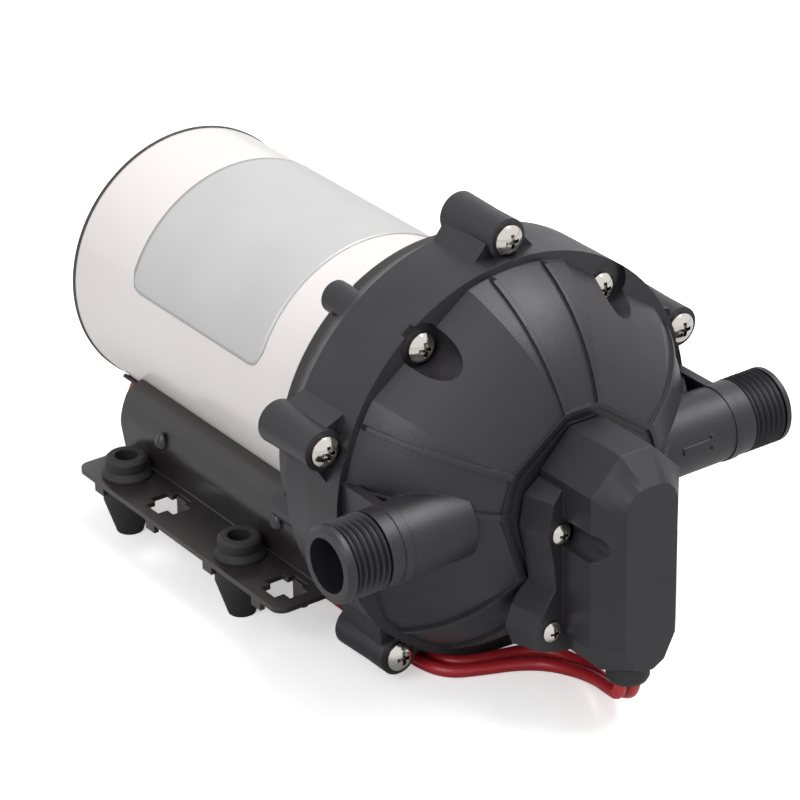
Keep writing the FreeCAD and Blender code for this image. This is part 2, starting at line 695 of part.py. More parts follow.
head_seats = around(lambda a: cylinder(S.big_head + 0.3, 6, ring_place(S.lug_circle, a)[0], S.lug_face_y - 6,
                                       ring_place(S.lug_circle, a)[1]), FIVE)
part("upper_housing", cut(filled, [nose_room, outlet_bore, inlet_bore, pressure_hole] + head_seats
                          + screw_holes + post_holes + pockets + switch_holes))


# Lower housing: a round wall and a stepped cone, with a plate that carries the diaphragm.
def chamber_place(angle, radius=S.chamber_circle):
    return ring_place(radius, angle)


lower_outer = turned([(0, SPLIT), (S.housing_radius, SPLIT), (S.housing_radius, WALL_END),
                      (S.plate_radius, CONE_END), (0, CONE_END)], "lower_outer")
lower_inner = turned([(0, SPLIT + S.support_thick),
                      (S.housing_radius - S.housing_wall, SPLIT + S.support_thick),
                      (S.housing_radius - S.housing_wall, WALL_END - 1),
                      (S.plate_radius - S.housing_wall, CONE_END - 0.5),
                      (S.plate_radius - S.housing_wall, CONE_END + 1), (0, CONE_END + 1)], "lower_inner")
lug_backs = around(lambda a: cone(S.lug_radius, S.lug_tail_radius, S.lower_lug,
                                  ring_place(S.lug_circle, a)[0],
                                  SPLIT, ring_place(S.lug_circle, a)[1], name="lug_back"), FIVE)
lower_webs = around(lambda a: lug_web(a, SPLIT, S.wall_depth, "lower_web"), FIVE)
POST_END = CONE_END + S.post_tail
posts = around(lambda a: cylinder(S.post_radius, POST_END - SPLIT, ring_place(S.post_circle, a)[0], SPLIT,
                                  ring_place(S.post_circle, a)[1], name="post"), CHAMBERS)
PLATE_SCREW_CIRCLE = S.can_radius + 5.2
plate_bosses = around(lambda a: cylinder(3.8, CONE_END - SPLIT - 1, ring_place(PLATE_SCREW_CIRCLE, a)[0],
                                         SPLIT + 1, ring_place(PLATE_SCREW_CIRCLE, a)[1]), FIVE)
piston_holes = around(lambda a: cylinder(S.chamber_radius, S.support_thick + 2,
                                         chamber_place(a)[0], SPLIT - 1,
                                         chamber_place(a)[1]), CHAMBERS)
plate_pilots = around(lambda a: cylinder(1.6, 12, ring_place(PLATE_SCREW_CIRCLE, a)[0], CONE_END - 11,
                                         ring_place(PLATE_SCREW_CIRCLE, a)[1]), FIVE)
lug_pilots = around(lambda a: cylinder(S.big_shank + S.fit_gap, S.lug_screw - S.upper_lug + 1.4,
                                       ring_place(S.lug_circle, a)[0], SPLIT - 0.4,
                                       ring_place(S.lug_circle, a)[1]), FIVE)
post_pilots = around(lambda a: cylinder(S.big_shank + S.fit_gap, S.post_screw - S.upper_lug + 1.4,
                                        ring_place(S.post_circle, a)[0], SPLIT - 0.4,
                                        ring_place(S.post_circle, a)[1]), POSTS)
lower_shell = cut(fuse([lower_outer] + lower_webs), [lower_inner], "lower_shell")
part("lower_housing", cut(fuse([lower_shell] + lug_backs + posts + plate_bosses),
                          piston_holes + plate_pilots + lug_pilots + post_pilots))

# Screws of the head.
group("lug_screws", [screw(S.big_head, S.head_height, S.big_shank, S.lug_screw,
                           ring_place(S.lug_circle, a)[0],
                           S.lug_face_y, ring_place(S.lug_circle, a)[1], "lug_screw") for a in FIVE])
group("inner_screws", [screw(S.big_head, S.head_height, S.big_shank, S.post_screw,
                             ring_place(S.post_circle, a)[0],
                             S.lug_face_y - S.inner_seat, ring_place(S.post_circle, a)[1], "inner_screw")
                       for a in POSTS])
group("switch_screws", [screw(S.small_head, S.small_head_height, S.small_shank, S.switch_screw, x, EAR_FACE,
                              AXIS + z, "switch_screw") for x, z in SWITCH_SCREWS])

# Valve plate with five chambers, an umbrella valve for each inlet and one flap valve for the outlets.
plate_disc = cylinder(S.pack_radius, S.valve_thick, 0, VALVE_FRONT, AXIS)
FLOOR = VALVE_REAR - S.chamber_depth
chambers = around(lambda a: cylinder(S.chamber_radius, S.chamber_depth + 1, chamber_place(a)[0], FLOOR,
                                     chamber_place(a)[1]), CHAMBERS)
umbrella_seats = around(lambda a: cylinder(S.umbrella_radius + 0.6, 2.5, ring_place(S.inlet_circle, a)[0],
                                           FLOOR - 1.4, ring_place(S.inlet_circle, a)[1]), CHAMBERS)
stem_holes = around(lambda a: cylinder(1.5, 12, ring_place(S.inlet_circle, a)[0], VALVE_FRONT - 1,
                                       ring_place(S.inlet_circle, a)[1]), CHAMBERS)
inlet_holes = []
for a in CHAMBERS:
    for k in range(3):
        across = S.inlet_circle * cosine(a) + 3.6 * math.cos(math.radians(a + 60 + 120 * k))
        up = AXIS + S.inlet_circle * sine(a) + 3.6 * math.sin(math.radians(a + 60 + 120 * k))
        inlet_holes.append(cylinder(1.2, 12, across, VALVE_FRONT - 1, up))
outlet_holes = around(lambda a: cylinder(1.1, 12, ring_place(S.outlet_circle, a)[0], VALVE_FRONT - 1,
                                         ring_place(S.outlet_circle, a)[1]),
                      [a + k for a in CHAMBERS for k in (-5, 5)])
flap_stem = cylinder(2.0, 12, 0, VALVE_FRONT - 1, AXIS)
SEAL_RING = S.central_radius + S.central_wall / 2
SEAL = 1.0
groove = cut(cylinder(SEAL_RING + SEAL + 0.1, 1.8, 0, VALVE_FRONT - 0.1, AXIS),
             [cylinder(SEAL_RING - SEAL - 0.1, 3, 0, VALVE_FRONT - 1, AXIS)])
part("valve_plate", cut(plate_disc, chambers + umbrella_seats + stem_holes + inlet_holes + outlet_holes
                        + [flap_stem, groove]))
part("outlet_seal", torus(SEAL_RING, SEAL, 0, VALVE_FRONT + 1.68 - SEAL, AXIS))


def umbrella(a):
    """An inlet valve: a thin disc in the chamber on a stem with a bead in front."""
    x, z = ring_place(S.inlet_circle, a)
    seat = FLOOR - 1.4
    return turned([(0, seat), (S.umbrella_radius, seat), (S.umbrella_radius, seat + 0.5), (1.6, seat + 1.0),
                   (0, seat + 1.0)], "umbrella_disc", x, 0, z), \
        turned([(0, VALVE_FRONT - 2), (1.2, VALVE_FRONT - 2), (2.1, VALVE_FRONT), (1.4, VALVE_FRONT),
                (1.4, seat + 0.2), (0, seat + 0.2)], "umbrella_stem", x, 0, z)


group("inlet_valves", [fuse(list(umbrella(a))) for a in CHAMBERS])
part("outlet_valve", turned([(0, VALVE_FRONT - 2.6), (3.4, VALVE_FRONT - 2.4), (4.2, VALVE_FRONT - 1.3),
                             (S.flap_radius, VALVE_FRONT - 0.8), (S.flap_radius, VALVE_FRONT - 0.05),
                             (1.9, VALVE_FRONT - 0.05), (1.9, VALVE_FRONT + 4.5), (0, VALVE_FRONT + 5.5)],
                            "outlet_valve"))


# Diaphragm: a flat rubber sheet with a raised or lowered zone at each piston.
def piston_shift(angle):
    """How far the tilt carries a piston to the rear at rest."""
    return -(S.chamber_circle * sine(angle) * sine(S.tilt))


half_sheet = S.diaphragm_thick / 2
flat_sheet = cut(cylinder(S.pack_radius, S.diaphragm_thick, 0, VALVE_REAR, AXIS),
                 around(lambda a: cylinder(S.chamber_radius - 0.5, 6, chamber_place(a)[0], VALVE_REAR - 2,
                                           chamber_place(a)[1]), CHAMBERS))
zones = []
for a in CHAMBERS:
    shift = DIAPHRAGM + piston_shift(a)
    edge, disc = S.chamber_radius - 0.4, S.piston_radius + 0.6
    zones.append(turned([(1.7, shift - half_sheet), (disc, shift - half_sheet), (edge, VALVE_REAR),
                         (edge, SPLIT), (disc, shift + half_sheet), (1.7, shift + half_sheet)],
                        "zone", chamber_place(a)[0], 0, chamber_place(a)[1]))
part("diaphragm", fuse([flat_sheet] + zones))

# Wobble drive, built about the middle of the diaphragm and tilted there.
TILT_TURN = FreeCAD.Rotation(V(1, 0, 0), S.tilt.value)


def tilted(thing):
    """Tilts a finished object about the middle of the diaphragm."""
    holder = doc.addObject("Part::Compound", fresh("tilted"))
    holder.Links = [thing]
    holder.Placement = FreeCAD.Placement(V(0, DIAPHRAGM.value, AXIS.value), TILT_TURN)
    holder.setExpression(".Placement.Base.y", DIAPHRAGM.text)
    holder.setExpression(".Placement.Base.z", AXIS.text)
    holder.setExpression(".Placement.Rotation.Angle", S.tilt.text)
    return holder


def own_ring(radius, angle):
    """A point on a circle, in the wobble drive's own frame."""
    return radius * cosine(angle), radius * sine(angle)


GRIP = half_sheet + S.disc_gap
BEARING_FRONT = S.wobble_back
BEARING_REAR = S.wobble_back + S.wobble_width
HUB_OUTER = S.wobble_outer + S.hub_wall
WEB_FRONT = BEARING_FRONT - 0.75
plate_ring = turned([(12.2, WEB_FRONT), (HUB_OUTER, WEB_FRONT), (HUB_OUTER, BEARING_REAR),
                     (S.wobble_outer + 0.02, BEARING_REAR), (S.wobble_outer + 0.02, BEARING_FRONT - 0.02),
                     (12.2, BEARING_FRONT - 0.02)], "plate_ring", 0, 0, 0)
arms = []
for a in CHAMBERS:
    x, z = own_ring(S.chamber_circle, a)
    arm = box((S.wobble_outer + 1, WEB_FRONT, -4.5), (S.chamber_circle, WEB_FRONT + 4, 4.5), "arm")
    arm.Placement = FreeCAD.Placement(V(0, 0, 0), FreeCAD.Rotation(V(0, 1, 0), -a)) * arm.Placement
    arm.setExpression(".Placement.Base.x", None)
    arm.setExpression(".Placement.Base.y", WEB_FRONT.text)
    near = S.wobble_outer + 1
    bind(arm, ".Placement.Base.x", near * cosine(a) + 4.5 * sine(a))
    bind(arm, ".Placement.Base.z", near * sine(a) - 4.5 * cosine(a))
    arms += [arm, cylinder(6.0, WEB_FRONT + 4 - GRIP, x, GRIP, z), cylinder(S.piston_radius, 2.5, x, GRIP, z)]
pilot = [cylinder(1.3, 8, *own_place) for own_place in
         [(own_ring(S.chamber_circle, a)[0], GRIP - 0.5, own_ring(S.chamber_circle, a)[1]) for a in CHAMBERS]]
part("wobble_plate", tilted(cut(fuse([plate_ring] + arms), pilot)))
discs, disc_screws = [], []
for a in CHAMBERS:
    x, z = own_ring(S.chamber_circle, a)
    discs.append(turned([(1.4, -GRIP - 2), (2.8, -GRIP - 2), (S.piston_radius - 1, -GRIP - 2),
                         (S.piston_radius, -GRIP - 1.2), (S.piston_radius, -GRIP), (1.4, -GRIP)],
                        "disc", x, 0, z))
    disc_screws.append(turned([(0, -GRIP - 3.0), (1.9, -GRIP - 3.0), (2.6, -GRIP - 2.5), (2.6, -GRIP - 2.03),
                               (1.25, -GRIP - 2.03), (1.25, GRIP + 6), (0, GRIP + 6)], "disc_screw", x, 0, z))
piston_discs = doc.addObject("Part::Compound", "piston_disc_set")
piston_discs.Links = discs
part("piston_discs", tilted(piston_discs))
piston_screws = doc.addObject("Part::Compound", "piston_screw_set")
piston_screws.Links = disc_screws
part("piston_screws", tilted(piston_screws))


def bearing(bore, outer_radius, width, front, count, z=AXIS):
    """A deep-groove ball bearing: inner ring, outer ring, and balls in a cage."""
    middle = front + width / 2
    pitch = (bore + outer_radius) / 2
    race = (outer_radius - bore) * 0.3
    wall = (outer_radius - bore) * 0.28
    inner_ring = cut(cylinder(bore + wall, width, 0, front, z),
                     [cylinder(bore, width + 2, 0, front - 1, z), torus(pitch, race + 0.04, 0, middle, z)])
    outer_ring = cut(cylinder(outer_radius, width, 0, front, z),
                     [cylinder(outer_radius - wall, width + 2, 0, front - 1, z),
                      torus(pitch, race + 0.04, 0, middle, z)])
    spots = [(pitch * cosine(360 * k / count), middle, z + pitch * sine(360 * k / count))
             for k in range(count)]
    cage_half = (outer_radius - bore) * 0.06
    cage = cut(cylinder(pitch + cage_half, width * 0.72, 0, middle - width * 0.36, z),
               [cylinder(pitch - cage_half, width, 0, front, z)]
               + [ball(race + 0.1, *spot) for spot in spots])
    balls = doc.addObject("Part::Compound", fresh("ball_set"))
    balls.Links = [ball(race, *spot) for spot in spots] + [cage]
    return inner_ring, outer_ring, balls


wobble_rings = bearing(S.wobble_bore, S.wobble_outer, S.wobble_width, BEARING_FRONT, 9, size(0))
for ending, piece in zip(("inner_ring", "outer_ring", "balls"), wobble_rings):
    part("wobble_bearing_" + ending, tilted(piece))

# Cam hub: an inclined seat for the wobble bearing and a collar, bored straight for the shaft.
inclined_seat = tilted(cylinder(S.wobble_bore - 0.01, S.wobble_width + 1.2, 0, BEARING_FRONT - 0.2, 0))
shoulder = tilted(cylinder(S.wobble_bore + 1.4, 1.6, 0, BEARING_REAR + 0.02, 0))
HUB_REAR = CONE_END - 1.2
collar_front = DIAPHRAGM + BEARING_REAR + 0.8
collar = cylinder(S.wobble_bore + 3.0, HUB_REAR - collar_front, 0, collar_front, AXIS, name="collar")
SET_SCREW_Y = (collar_front + HUB_REAR) / 2
set_hole = cylinder(1.6, 20, 0, SET_SCREW_Y, AXIS, UPRIGHT, "set_hole")
shaft_bore = cylinder(S.shaft_radius + 0.01, 40, 0, DIAPHRAGM, AXIS)
part("cam_hub", cut(fuse([inclined_seat, shoulder, collar]), [shaft_bore, set_hole]))
part("cam_set_screw", cut(cylinder(1.5, S.wobble_bore + 3.0 - S.shaft_radius - 0.4, 0, SET_SCREW_Y,
                                   AXIS + S.shaft_radius + 0.1, UPRIGHT),
                          [cylinder(0.7, 6, 0, SET_SCREW_Y, AXIS + S.wobble_bore + 1.2, UPRIGHT)]))

# Motor: front plate with its bearing, can, magnets, rotor, brush gear and rear cap.
SEAT_FRONT = CONE_END + 1.0
SEAT_REAR = SEAT_FRONT + S.bearing_width
plate_body = turned([(S.shaft_radius + 4.5, CONE_END + 0.02), (S.plate_radius, CONE_END + 0.02),
                     (S.plate_radius, CAN_FRONT), (CAN_INNER - S.fit_gap, CAN_FRONT),
                     (CAN_INNER - S.fit_gap, CAN_FRONT + 2.5), (CAN_INNER - 3, CAN_FRONT + 2.5),
                     (CAN_INNER - 3, CAN_FRONT), (S.bearing_outer + 3, CAN_FRONT),
                     (S.bearing_outer + 3, SEAT_REAR), (S.bearing_outer + 0.01, SEAT_REAR),
                     (S.bearing_outer + 0.01, SEAT_FRONT - 0.01), (S.shaft_radius + 4.5, SEAT_FRONT - 0.01)],
                    "plate_body")
post_notches = around(lambda a: cylinder(S.post_radius + S.fit_gap * 2, 12, ring_place(S.post_circle, a)[0],
                                         CONE_END - 4, ring_place(S.post_circle, a)[1]), CHAMBERS)
plate_holes = around(lambda a: cylinder(1.7, 12, ring_place(PLATE_SCREW_CIRCLE, a)[0], CONE_END - 4,
                                        ring_place(PLATE_SCREW_CIRCLE, a)[1]), FIVE)
BOLTS = [90, 270]
bolt_holes = around(lambda a: cylinder(S.bolt_radius + S.fit_gap, 12, ring_place(S.bolt_circle, a)[0],
                                       CONE_END - 2, ring_place(S.bolt_circle, a)[1]), BOLTS)
part("motor_front_plate", cut(plate_body, post_notches + plate_holes + bolt_holes))
group("plate_screws", around(
    lambda a: cut(fuse([cylinder(2.9, 2.2, ring_place(PLATE_SCREW_CIRCLE, a)[0], CAN_FRONT + 0.02,
                                 ring_place(PLATE_SCREW_CIRCLE, a)[1]),
                        cylinder(1.5, 12, ring_place(PLATE_SCREW_CIRCLE, a)[0], CAN_FRONT - 11,
                                 ring_place(PLATE_SCREW_CIRCLE, a)[1])]),
                  [cylinder(1.2, 3, ring_place(PLATE_SCREW_CIRCLE, a)[0], CAN_FRONT + 1.2,
                            ring_place(PLATE_SCREW_CIRCLE, a)[1])]), FIVE))

LEAD_ANGLE = 231
LEAD_Y = CAN_REAR - 8.0
can_body = turned([(CAN_INNER, CAN_FRONT + 0.02), (S.can_radius, CAN_FRONT + 0.02), (S.can_radius, CAN_REAR),
                   (CAN_INNER, CAN_REAR)], "can_body")


def radial(radius, start, length, angle, y, name="radial"):
    """A cylinder that points away from the pump axis at an angle."""
    turn = FreeCAD.Rotation(V(0, 1, 0), 90 - angle)
    x, z = ring_place(start, angle)
    return cylinder(radius, length, x, y, z, turn, name)


BRACKET_SCREWS = [-S.foot_half_y * 0.7, S.foot_half_y * 0.7]
can_holes = [radial(3.2, CAN_INNER - 3, 8, LEAD_ANGLE, LEAD_Y)]
can_holes += [radial(1.7, CAN_INNER - 3, 8, 270, y) for y in BRACKET_SCREWS]
part("motor_can", cut(can_body, can_holes))

MAGNET_FRONT = CAN_FRONT + S.magnet_front
magnet_ring = turned([(S.magnet_inner, MAGNET_FRONT), (CAN_INNER - S.fit_gap, MAGNET_FRONT),
                      (CAN_INNER - S.fit_gap, MAGNET_FRONT + S.magnet_length),
                      (S.magnet_inner, MAGNET_FRONT + S.magnet_length)], "magnet_ring")
gap_half = 13.0
magnet_gap = box((-gap_half, MAGNET_FRONT - 1, AXIS - S.can_radius),
                 (gap_half, MAGNET_FRONT + S.magnet_length + 1, AXIS + S.can_radius), "magnet_gap")
part("magnets", cut(magnet_ring, [magnet_gap]))

REAR_BEARING = CAN_REAR + S.rim_thick - S.cap_thick - S.bearing_width
CORE_FRONT = CAN_FRONT + S.core_front
CORE_REAR = CORE_FRONT + S.core_length
COMM_FRONT = CORE_REAR + S.winding_reach + S.commutator_gap
COMM_REAR = COMM_FRONT + S.commutator_length
SHAFT_FRONT = DIAPHRAGM + WEB_FRONT + 0.5
part("motor_shaft", turned([(0, SHAFT_FRONT), (S.shaft_radius - 0.5, SHAFT_FRONT),
                            (S.shaft_radius, SHAFT_FRONT + 0.5),
                            (S.shaft_radius, REAR_BEARING + S.bearing_width),
                            (0, REAR_BEARING + S.bearing_width)], "motor_shaft"))
core_disc = cut(cylinder(S.core_radius, S.core_length, 0, CORE_FRONT, AXIS),
                [cylinder(S.shaft_radius + 0.01, 200, 0, CORE_FRONT - 5, AXIS)])
SLOTS = 12
slots = []
for k in range(SLOTS):
    a = 360 * k / SLOTS
    slot = radial(S.slot_width / 2, S.core_radius - S.slot_depth, S.slot_depth + 2, a, CORE_FRONT - 1, "slot")
    slots.append(slot)
slot_prisms = []
for k in range(SLOTS):
    a = 360 * k / SLOTS
    x, z = ring_place(S.core_radius - S.slot_depth / 2, a)
    slot_prisms.append(cylinder(S.slot_depth / 2 - 1.2, S.core_length + 2, x, CORE_FRONT - 1, z, name="slot"))
part("armature_core", cut(core_disc, slot_prisms))
for slot in slots:
    doc.removeObject(slot.Name)
WIND_INNER = S.shaft_radius + 3
coils = []
for k in range(SLOTS):
    a = 360 * k / SLOTS
    x, z = ring_place(S.core_radius - S.slot_depth / 2, a)
    coils.append(cylinder(S.slot_depth / 2 - 1.3, S.core_length + 1, x, CORE_FRONT - 0.5, z,
                          name="coil_side"))
for start, away in ((CORE_FRONT, -1), (CORE_REAR, 1)):
    coils.append(turned([(WIND_INNER, start + 0.02 * away), (S.winding_radius + 2, start + 0.02 * away),
                         (S.winding_radius + 2, start + S.winding_reach * 0.5 * away),
                         (S.winding_radius - 3, start + S.winding_reach * away),
                         (WIND_INNER + 3, start + S.winding_reach * away),
                         (WIND_INNER, start + S.winding_reach * 0.6 * away)], "end_turns"))
part("armature_winding", fuse(coils))
comm_ring = turned([(S.shaft_radius + 0.01, COMM_FRONT), (S.commutator_radius + 1.2, COMM_FRONT),
                    (S.commutator_radius + 1.2, COMM_FRONT + 1.5), (S.commutator_radius, COMM_FRONT + 1.5),
                    (S.commutator_radius, COMM_REAR), (S.shaft_radius + 0.01, COMM_REAR)], "comm_ring")
bars = []
for k in range(SLOTS):
    bar = box((S.commutator_radius - 1.2, COMM_FRONT + 1.5, -0.3),
              (S.commutator_radius + 2, COMM_REAR + 1, 0.3), "bar_gap")
    a = 360 * (k + 0.5) / SLOTS
    bar.Placement = FreeCAD.Placement(V(0, 0, 0), FreeCAD.Rotation(V(0, 1, 0), -a))
    near = S.commutator_radius - 1.2
    bind(bar, ".Placement.Base.x", near * cosine(a) + 0.3 * sine(a))
    bind(bar, ".Placement.Base.y", COMM_FRONT + 1.5)
    bind(bar, ".Placement.Base.z", AXIS + near * sine(a) - 0.3 * cosine(a))
    bars.append(bar)
part("commutator", cut(comm_ring, bars))
motor_bearings = [bearing(S.shaft_radius, S.bearing_outer, S.bearing_width, front, 7)
                  for front in (SEAT_FRONT, REAR_BEARING)]
for ending, pair in zip(("inner_rings", "outer_rings", "balls"), zip(*motor_bearings)):
    group("motor_bearing_" + ending, list(pair))

# Brush gear: a plate with two boxes, and in each a carbon brush with its spring.
BRUSH_Y = (COMM_FRONT + 1.5 + COMM_REAR) / 2
BRUSH_START = S.commutator_radius + 0.05
BRUSH_END = BRUSH_START + S.brush_length
BOX_END = BRUSH_END + S.spring_room
BOX_START = S.commutator_radius + 1.8
half_w, half_h = S.brush_width / 2, S.brush_height / 2
HOLDER_FRONT = BRUSH_Y + half_w + S.brush_wall + S.fit_gap
holder = cut(cylinder(CAN_INNER - 0.5, S.holder_thick, 0, HOLDER_FRONT, AXIS),
             [cylinder(S.commutator_radius + 2.4, 20, 0, HOLDER_FRONT - 5, AXIS)]
             + around(lambda a: cylinder(S.bolt_radius + 0.3, 20, ring_place(S.bolt_circle, a)[0],
                                         HOLDER_FRONT - 5, ring_place(S.bolt_circle, a)[1]), BOLTS)
             + [radial(3.8, CAN_INNER - 5, 8, LEAD_ANGLE, LEAD_Y)])


def brush_box(side):
    """The outside and the channel of one brush box."""
    wall, gap = S.brush_wall + S.fit_gap, S.fit_gap
    ends = [side * BOX_START, side * (BOX_END + S.brush_wall)]
    inner = [side * (BOX_START - 3), side * BOX_END]
    if side < 0:
        ends.reverse()
        inner.reverse()
    outside = box((ends[0], BRUSH_Y - half_w - wall, AXIS - half_h - wall),
                  (ends[1], BRUSH_Y + half_w + wall + 0.5, AXIS + half_h + wall), "brush_box")
    channel = box((inner[0], BRUSH_Y - half_w - gap, AXIS - half_h - gap),
                  (inner[1], BRUSH_Y + half_w + gap, AXIS + half_h + gap), "brush_channel")
    return outside, channel


right_box, right_channel = brush_box(1)
left_box, left_channel = brush_box(-1)
part("brush_holder", cut(fuse([holder, right_box, left_box]), [right_channel, left_channel]))


def brush(side):
    """A carbon block hollowed at its inner end to the commutator's radius."""
    ends = [side * (BRUSH_START - 1.5), side * BRUSH_END]
    if side < 0:
        ends.reverse()
    block = box((ends[0], BRUSH_Y - half_w, AXIS - half_h), (ends[1], BRUSH_Y + half_w, AXIS + half_h),
                "block")
    return cut(block, [cylinder(BRUSH_START, S.brush_width + 4, 0, BRUSH_Y - half_w - 2, AXIS)])


part("brush_right", brush(1))
part("brush_left", brush(-1))


def coil_spring(mean, wire, length, turns):
    """A coil spring along Z from the origin: a wire swept on a helix of quarter-turn arcs."""
    steps = int(turns * 8)
    points = [V(mean * math.cos(math.pi * k / 4), mean * math.sin(math.pi * k / 4),
                wire + (length - 2 * wire) * k / steps) for k in range(steps + 1)]
    edges = []
    for k in range(0, steps, 2):
        edges.append(Part.Arc(points[k], points[k + 1], points[k + 2]).toShape())
    path = Part.Wire(edges)
    start = path.Edges[0].tangentAt(path.Edges[0].FirstParameter)
    profile = Part.Wire(Part.Circle(points[0], start, wire).toShape())
    return path.makePipeShell([profile], True, False)


def brush_spring(side):
    spring = made(coil_spring(2.1, 0.3, S.spring_room.value - 0.2, 5), "brush_spring")
    return place(spring, side * (BRUSH_END + 0.1), BRUSH_Y, AXIS, FreeCAD.Rotation(V(0, 1, 0), 90 * side))


group("brush_springs", [brush_spring(1), brush_spring(-1)])

cap_body = turned([(0, CAN_REAR + S.rim_thick), (0, CAN_REAR + S.rim_thick - S.cap_thick),
                   (S.bearing_outer + 0.01, CAN_REAR + S.rim_thick - S.cap_thick),
                   (S.bearing_outer + 0.01, REAR_BEARING), (S.bearing_outer + 2.6, REAR_BEARING),
                   (S.bearing_outer + 2.6, CAN_REAR + S.rim_thick - S.cap_thick),
                   (CAN_INNER - 2.6, CAN_REAR + S.rim_thick - S.cap_thick), (CAN_INNER - 2.6, CAN_REAR - 4),
                   (CAN_INNER - S.fit_gap, CAN_REAR - 4), (CAN_INNER - S.fit_gap, CAN_REAR + 0.02),
                   (S.can_radius + S.rim_over, CAN_REAR + 0.02),
                   (S.can_radius + S.rim_over, CAN_REAR + S.rim_thick)], "cap_body")
cap_holes = around(lambda a: cylinder(S.bolt_radius + S.fit_gap, 20, ring_place(S.bolt_circle, a)[0],
                                      CAN_REAR - 10, ring_place(S.bolt_circle, a)[1]), BOLTS)
part("motor_rear_cap", cut(cap_body, cap_holes))
BOLT_FRONT = CONE_END + 0.5
group("through_bolts", around(
    lambda a: cut(fuse([cylinder(S.bolt_radius, CAN_REAR + S.rim_thick - BOLT_FRONT,
                                 ring_place(S.bolt_circle, a)[0], BOLT_FRONT,
                                 ring_place(S.bolt_circle, a)[1]),
                        cylinder(S.bolt_radius + 1.7, 2.4, ring_place(S.bolt_circle, a)[0],
                                 CAN_REAR + S.rim_thick, ring_place(S.bolt_circle, a)[1])]),
                  [box((ring_place(S.bolt_circle, a)[0] - 5, CAN_REAR + S.rim_thick + 1.4,
                        ring_place(S.bolt_circle, a)[1] - 0.5),
                       (ring_place(S.bolt_circle, a)[0] + 5, CAN_REAR + S.rim_thick + 3,
                        ring_place(S.bolt_circle, a)[1] + 0.5))]), BOLTS))
LABEL_FRONT = CAN_FRONT + S.label_place
part("motor_label", common(
    turned([(S.can_radius + 0.02, LABEL_FRONT), (S.can_radius + 0.2, LABEL_FRONT),
            (S.can_radius + 0.2, LABEL_FRONT + S.label_length),
            (S.can_radius + 0.02, LABEL_FRONT + S.label_length)],
           "label_ring"),
    box((-S.can_radius * 2, CAN_FRONT, AXIS + S.can_radius * sine(S.label_start)),
        (S.can_radius * 2, CAN_REAR, AXIS + S.can_radius * 2), "label_side")))

# Base: one folded steel sheet with two flanges, two wings and a saddle, on four rubber feet.
half_sheet_steel = S.sheet_thick / 2
SADDLE = S.can_radius + S.fit_gap + half_sheet_steel
fold_x, fold_z = SADDLE * cosine(S.saddle_end), SADDLE * sine(S.saddle_end)
WING = [(S.wing_foot, S.flange_drop / S.can_radius), ((S.wing_foot + S.wing_bulge) / 2, S.wing_low),
        (S.wing_bulge, S.wing_middle),
        ((S.wing_bulge * 2 + S.wing_neck) / 3, (S.wing_middle + S.wing_high) / 2),
        (S.wing_neck, S.wing_high)]
wing_line = [(-S.flange_half, -S.flange_drop)] + [(-S.can_radius * x, -S.can_radius * z) for x, z in WING]


def sheet_section():
    """The base's cross section: both faces of the sheet, each offset by half its thickness and mitred."""
    line = [V(size(x).value, 0, size(z).value) for x, z in wing_line]
    line.append(V(fold_x.value, 0, fold_z.value))
    half = S.sheet_thick.value / 2
    bends = bend_radii(line)
    ways = [(q - p).normalize() for p, q in zip(line, line[1:])]
    sides = [V(-w.z, 0, w.x) for w in ways]

    def face(sign):
        """One face of the sheet from the left edge to the saddle, and the saddle's radius there."""
        points = [line[0] + sides[0] * sign * half]
        for p, n, m in zip(line[1:], sides, sides[1:]):
            points.append(p + (n + m) * (sign * half / (1 + n.dot(m))))
        radius = SADDLE.value - sign * half
        start = line[-1] + sides[-1] * sign * half
        slope = start.dot(ways[-1])
        reach = -slope - math.sqrt(slope ** 2 - start.dot(start) + radius ** 2)
        points.append(start + ways[-1] * reach)
        return points, radius

    def saddle(points, radius):
        end = points[-1]
        return Part.Arc(end, V(0, 0, -radius), V(-end.x, 0, end.z)).toShape()

    top, top_radius = face(1)
    under, under_radius = face(-1)
    left = bent(top, bends, half) + bent(under, bends, -half) + [Part.LineSegment(under[0], top[0]).toShape()]
    right = [edge.mirror(V(0, 0, 0), V(1, 0, 0)) for edge in left]
    edges = left + right + [saddle(top, top_radius), saddle(under, under_radius)]
    return Part.Face(Part.Wire(Part.__sortEdges__(edges)))


def bend_radii(line):
    """The radius of the sheet's middle at each bend: tight at the flange, then as large as the runs allow."""
    radii = []
    for before, at, after in zip(line, line[1:], line[2:]):
        turn = (at - before).getAngle(after - at)
        radii.append(0.45 * min((at - before).Length, (after - at).Length) / math.tan(turn / 2))
    radii[0] = S.sheet_thick.value * 0.7
    return radii


def bent(points, radii, side):
    """Runs and arcs along one face of the sheet; side is the face's distance from the sheet's middle."""
    edges, start = [], points[0]
    for before, at, after, radius in zip(points, points[1:], points[2:], radii):
        u, w = (at - before).normalize(), (after - at).normalize()
        way = 1 if u.x * w.z - u.z * w.x > 0 else -1
        own = radius - way * side
        reach = own * math.tan(u.getAngle(w) / 2)
        first, last = at - u * reach, at + w * reach
        middle = first + V(-u.z, 0, u.x) * (way * own)
        edges.append(Part.LineSegment(start, first).toShape())
        edges.append(Part.Arc(first, middle + (at - middle).normalize() * own, last).toShape())
        start = last
    edges.append(Part.LineSegment(start, points[-1]).toShape())
    return edges


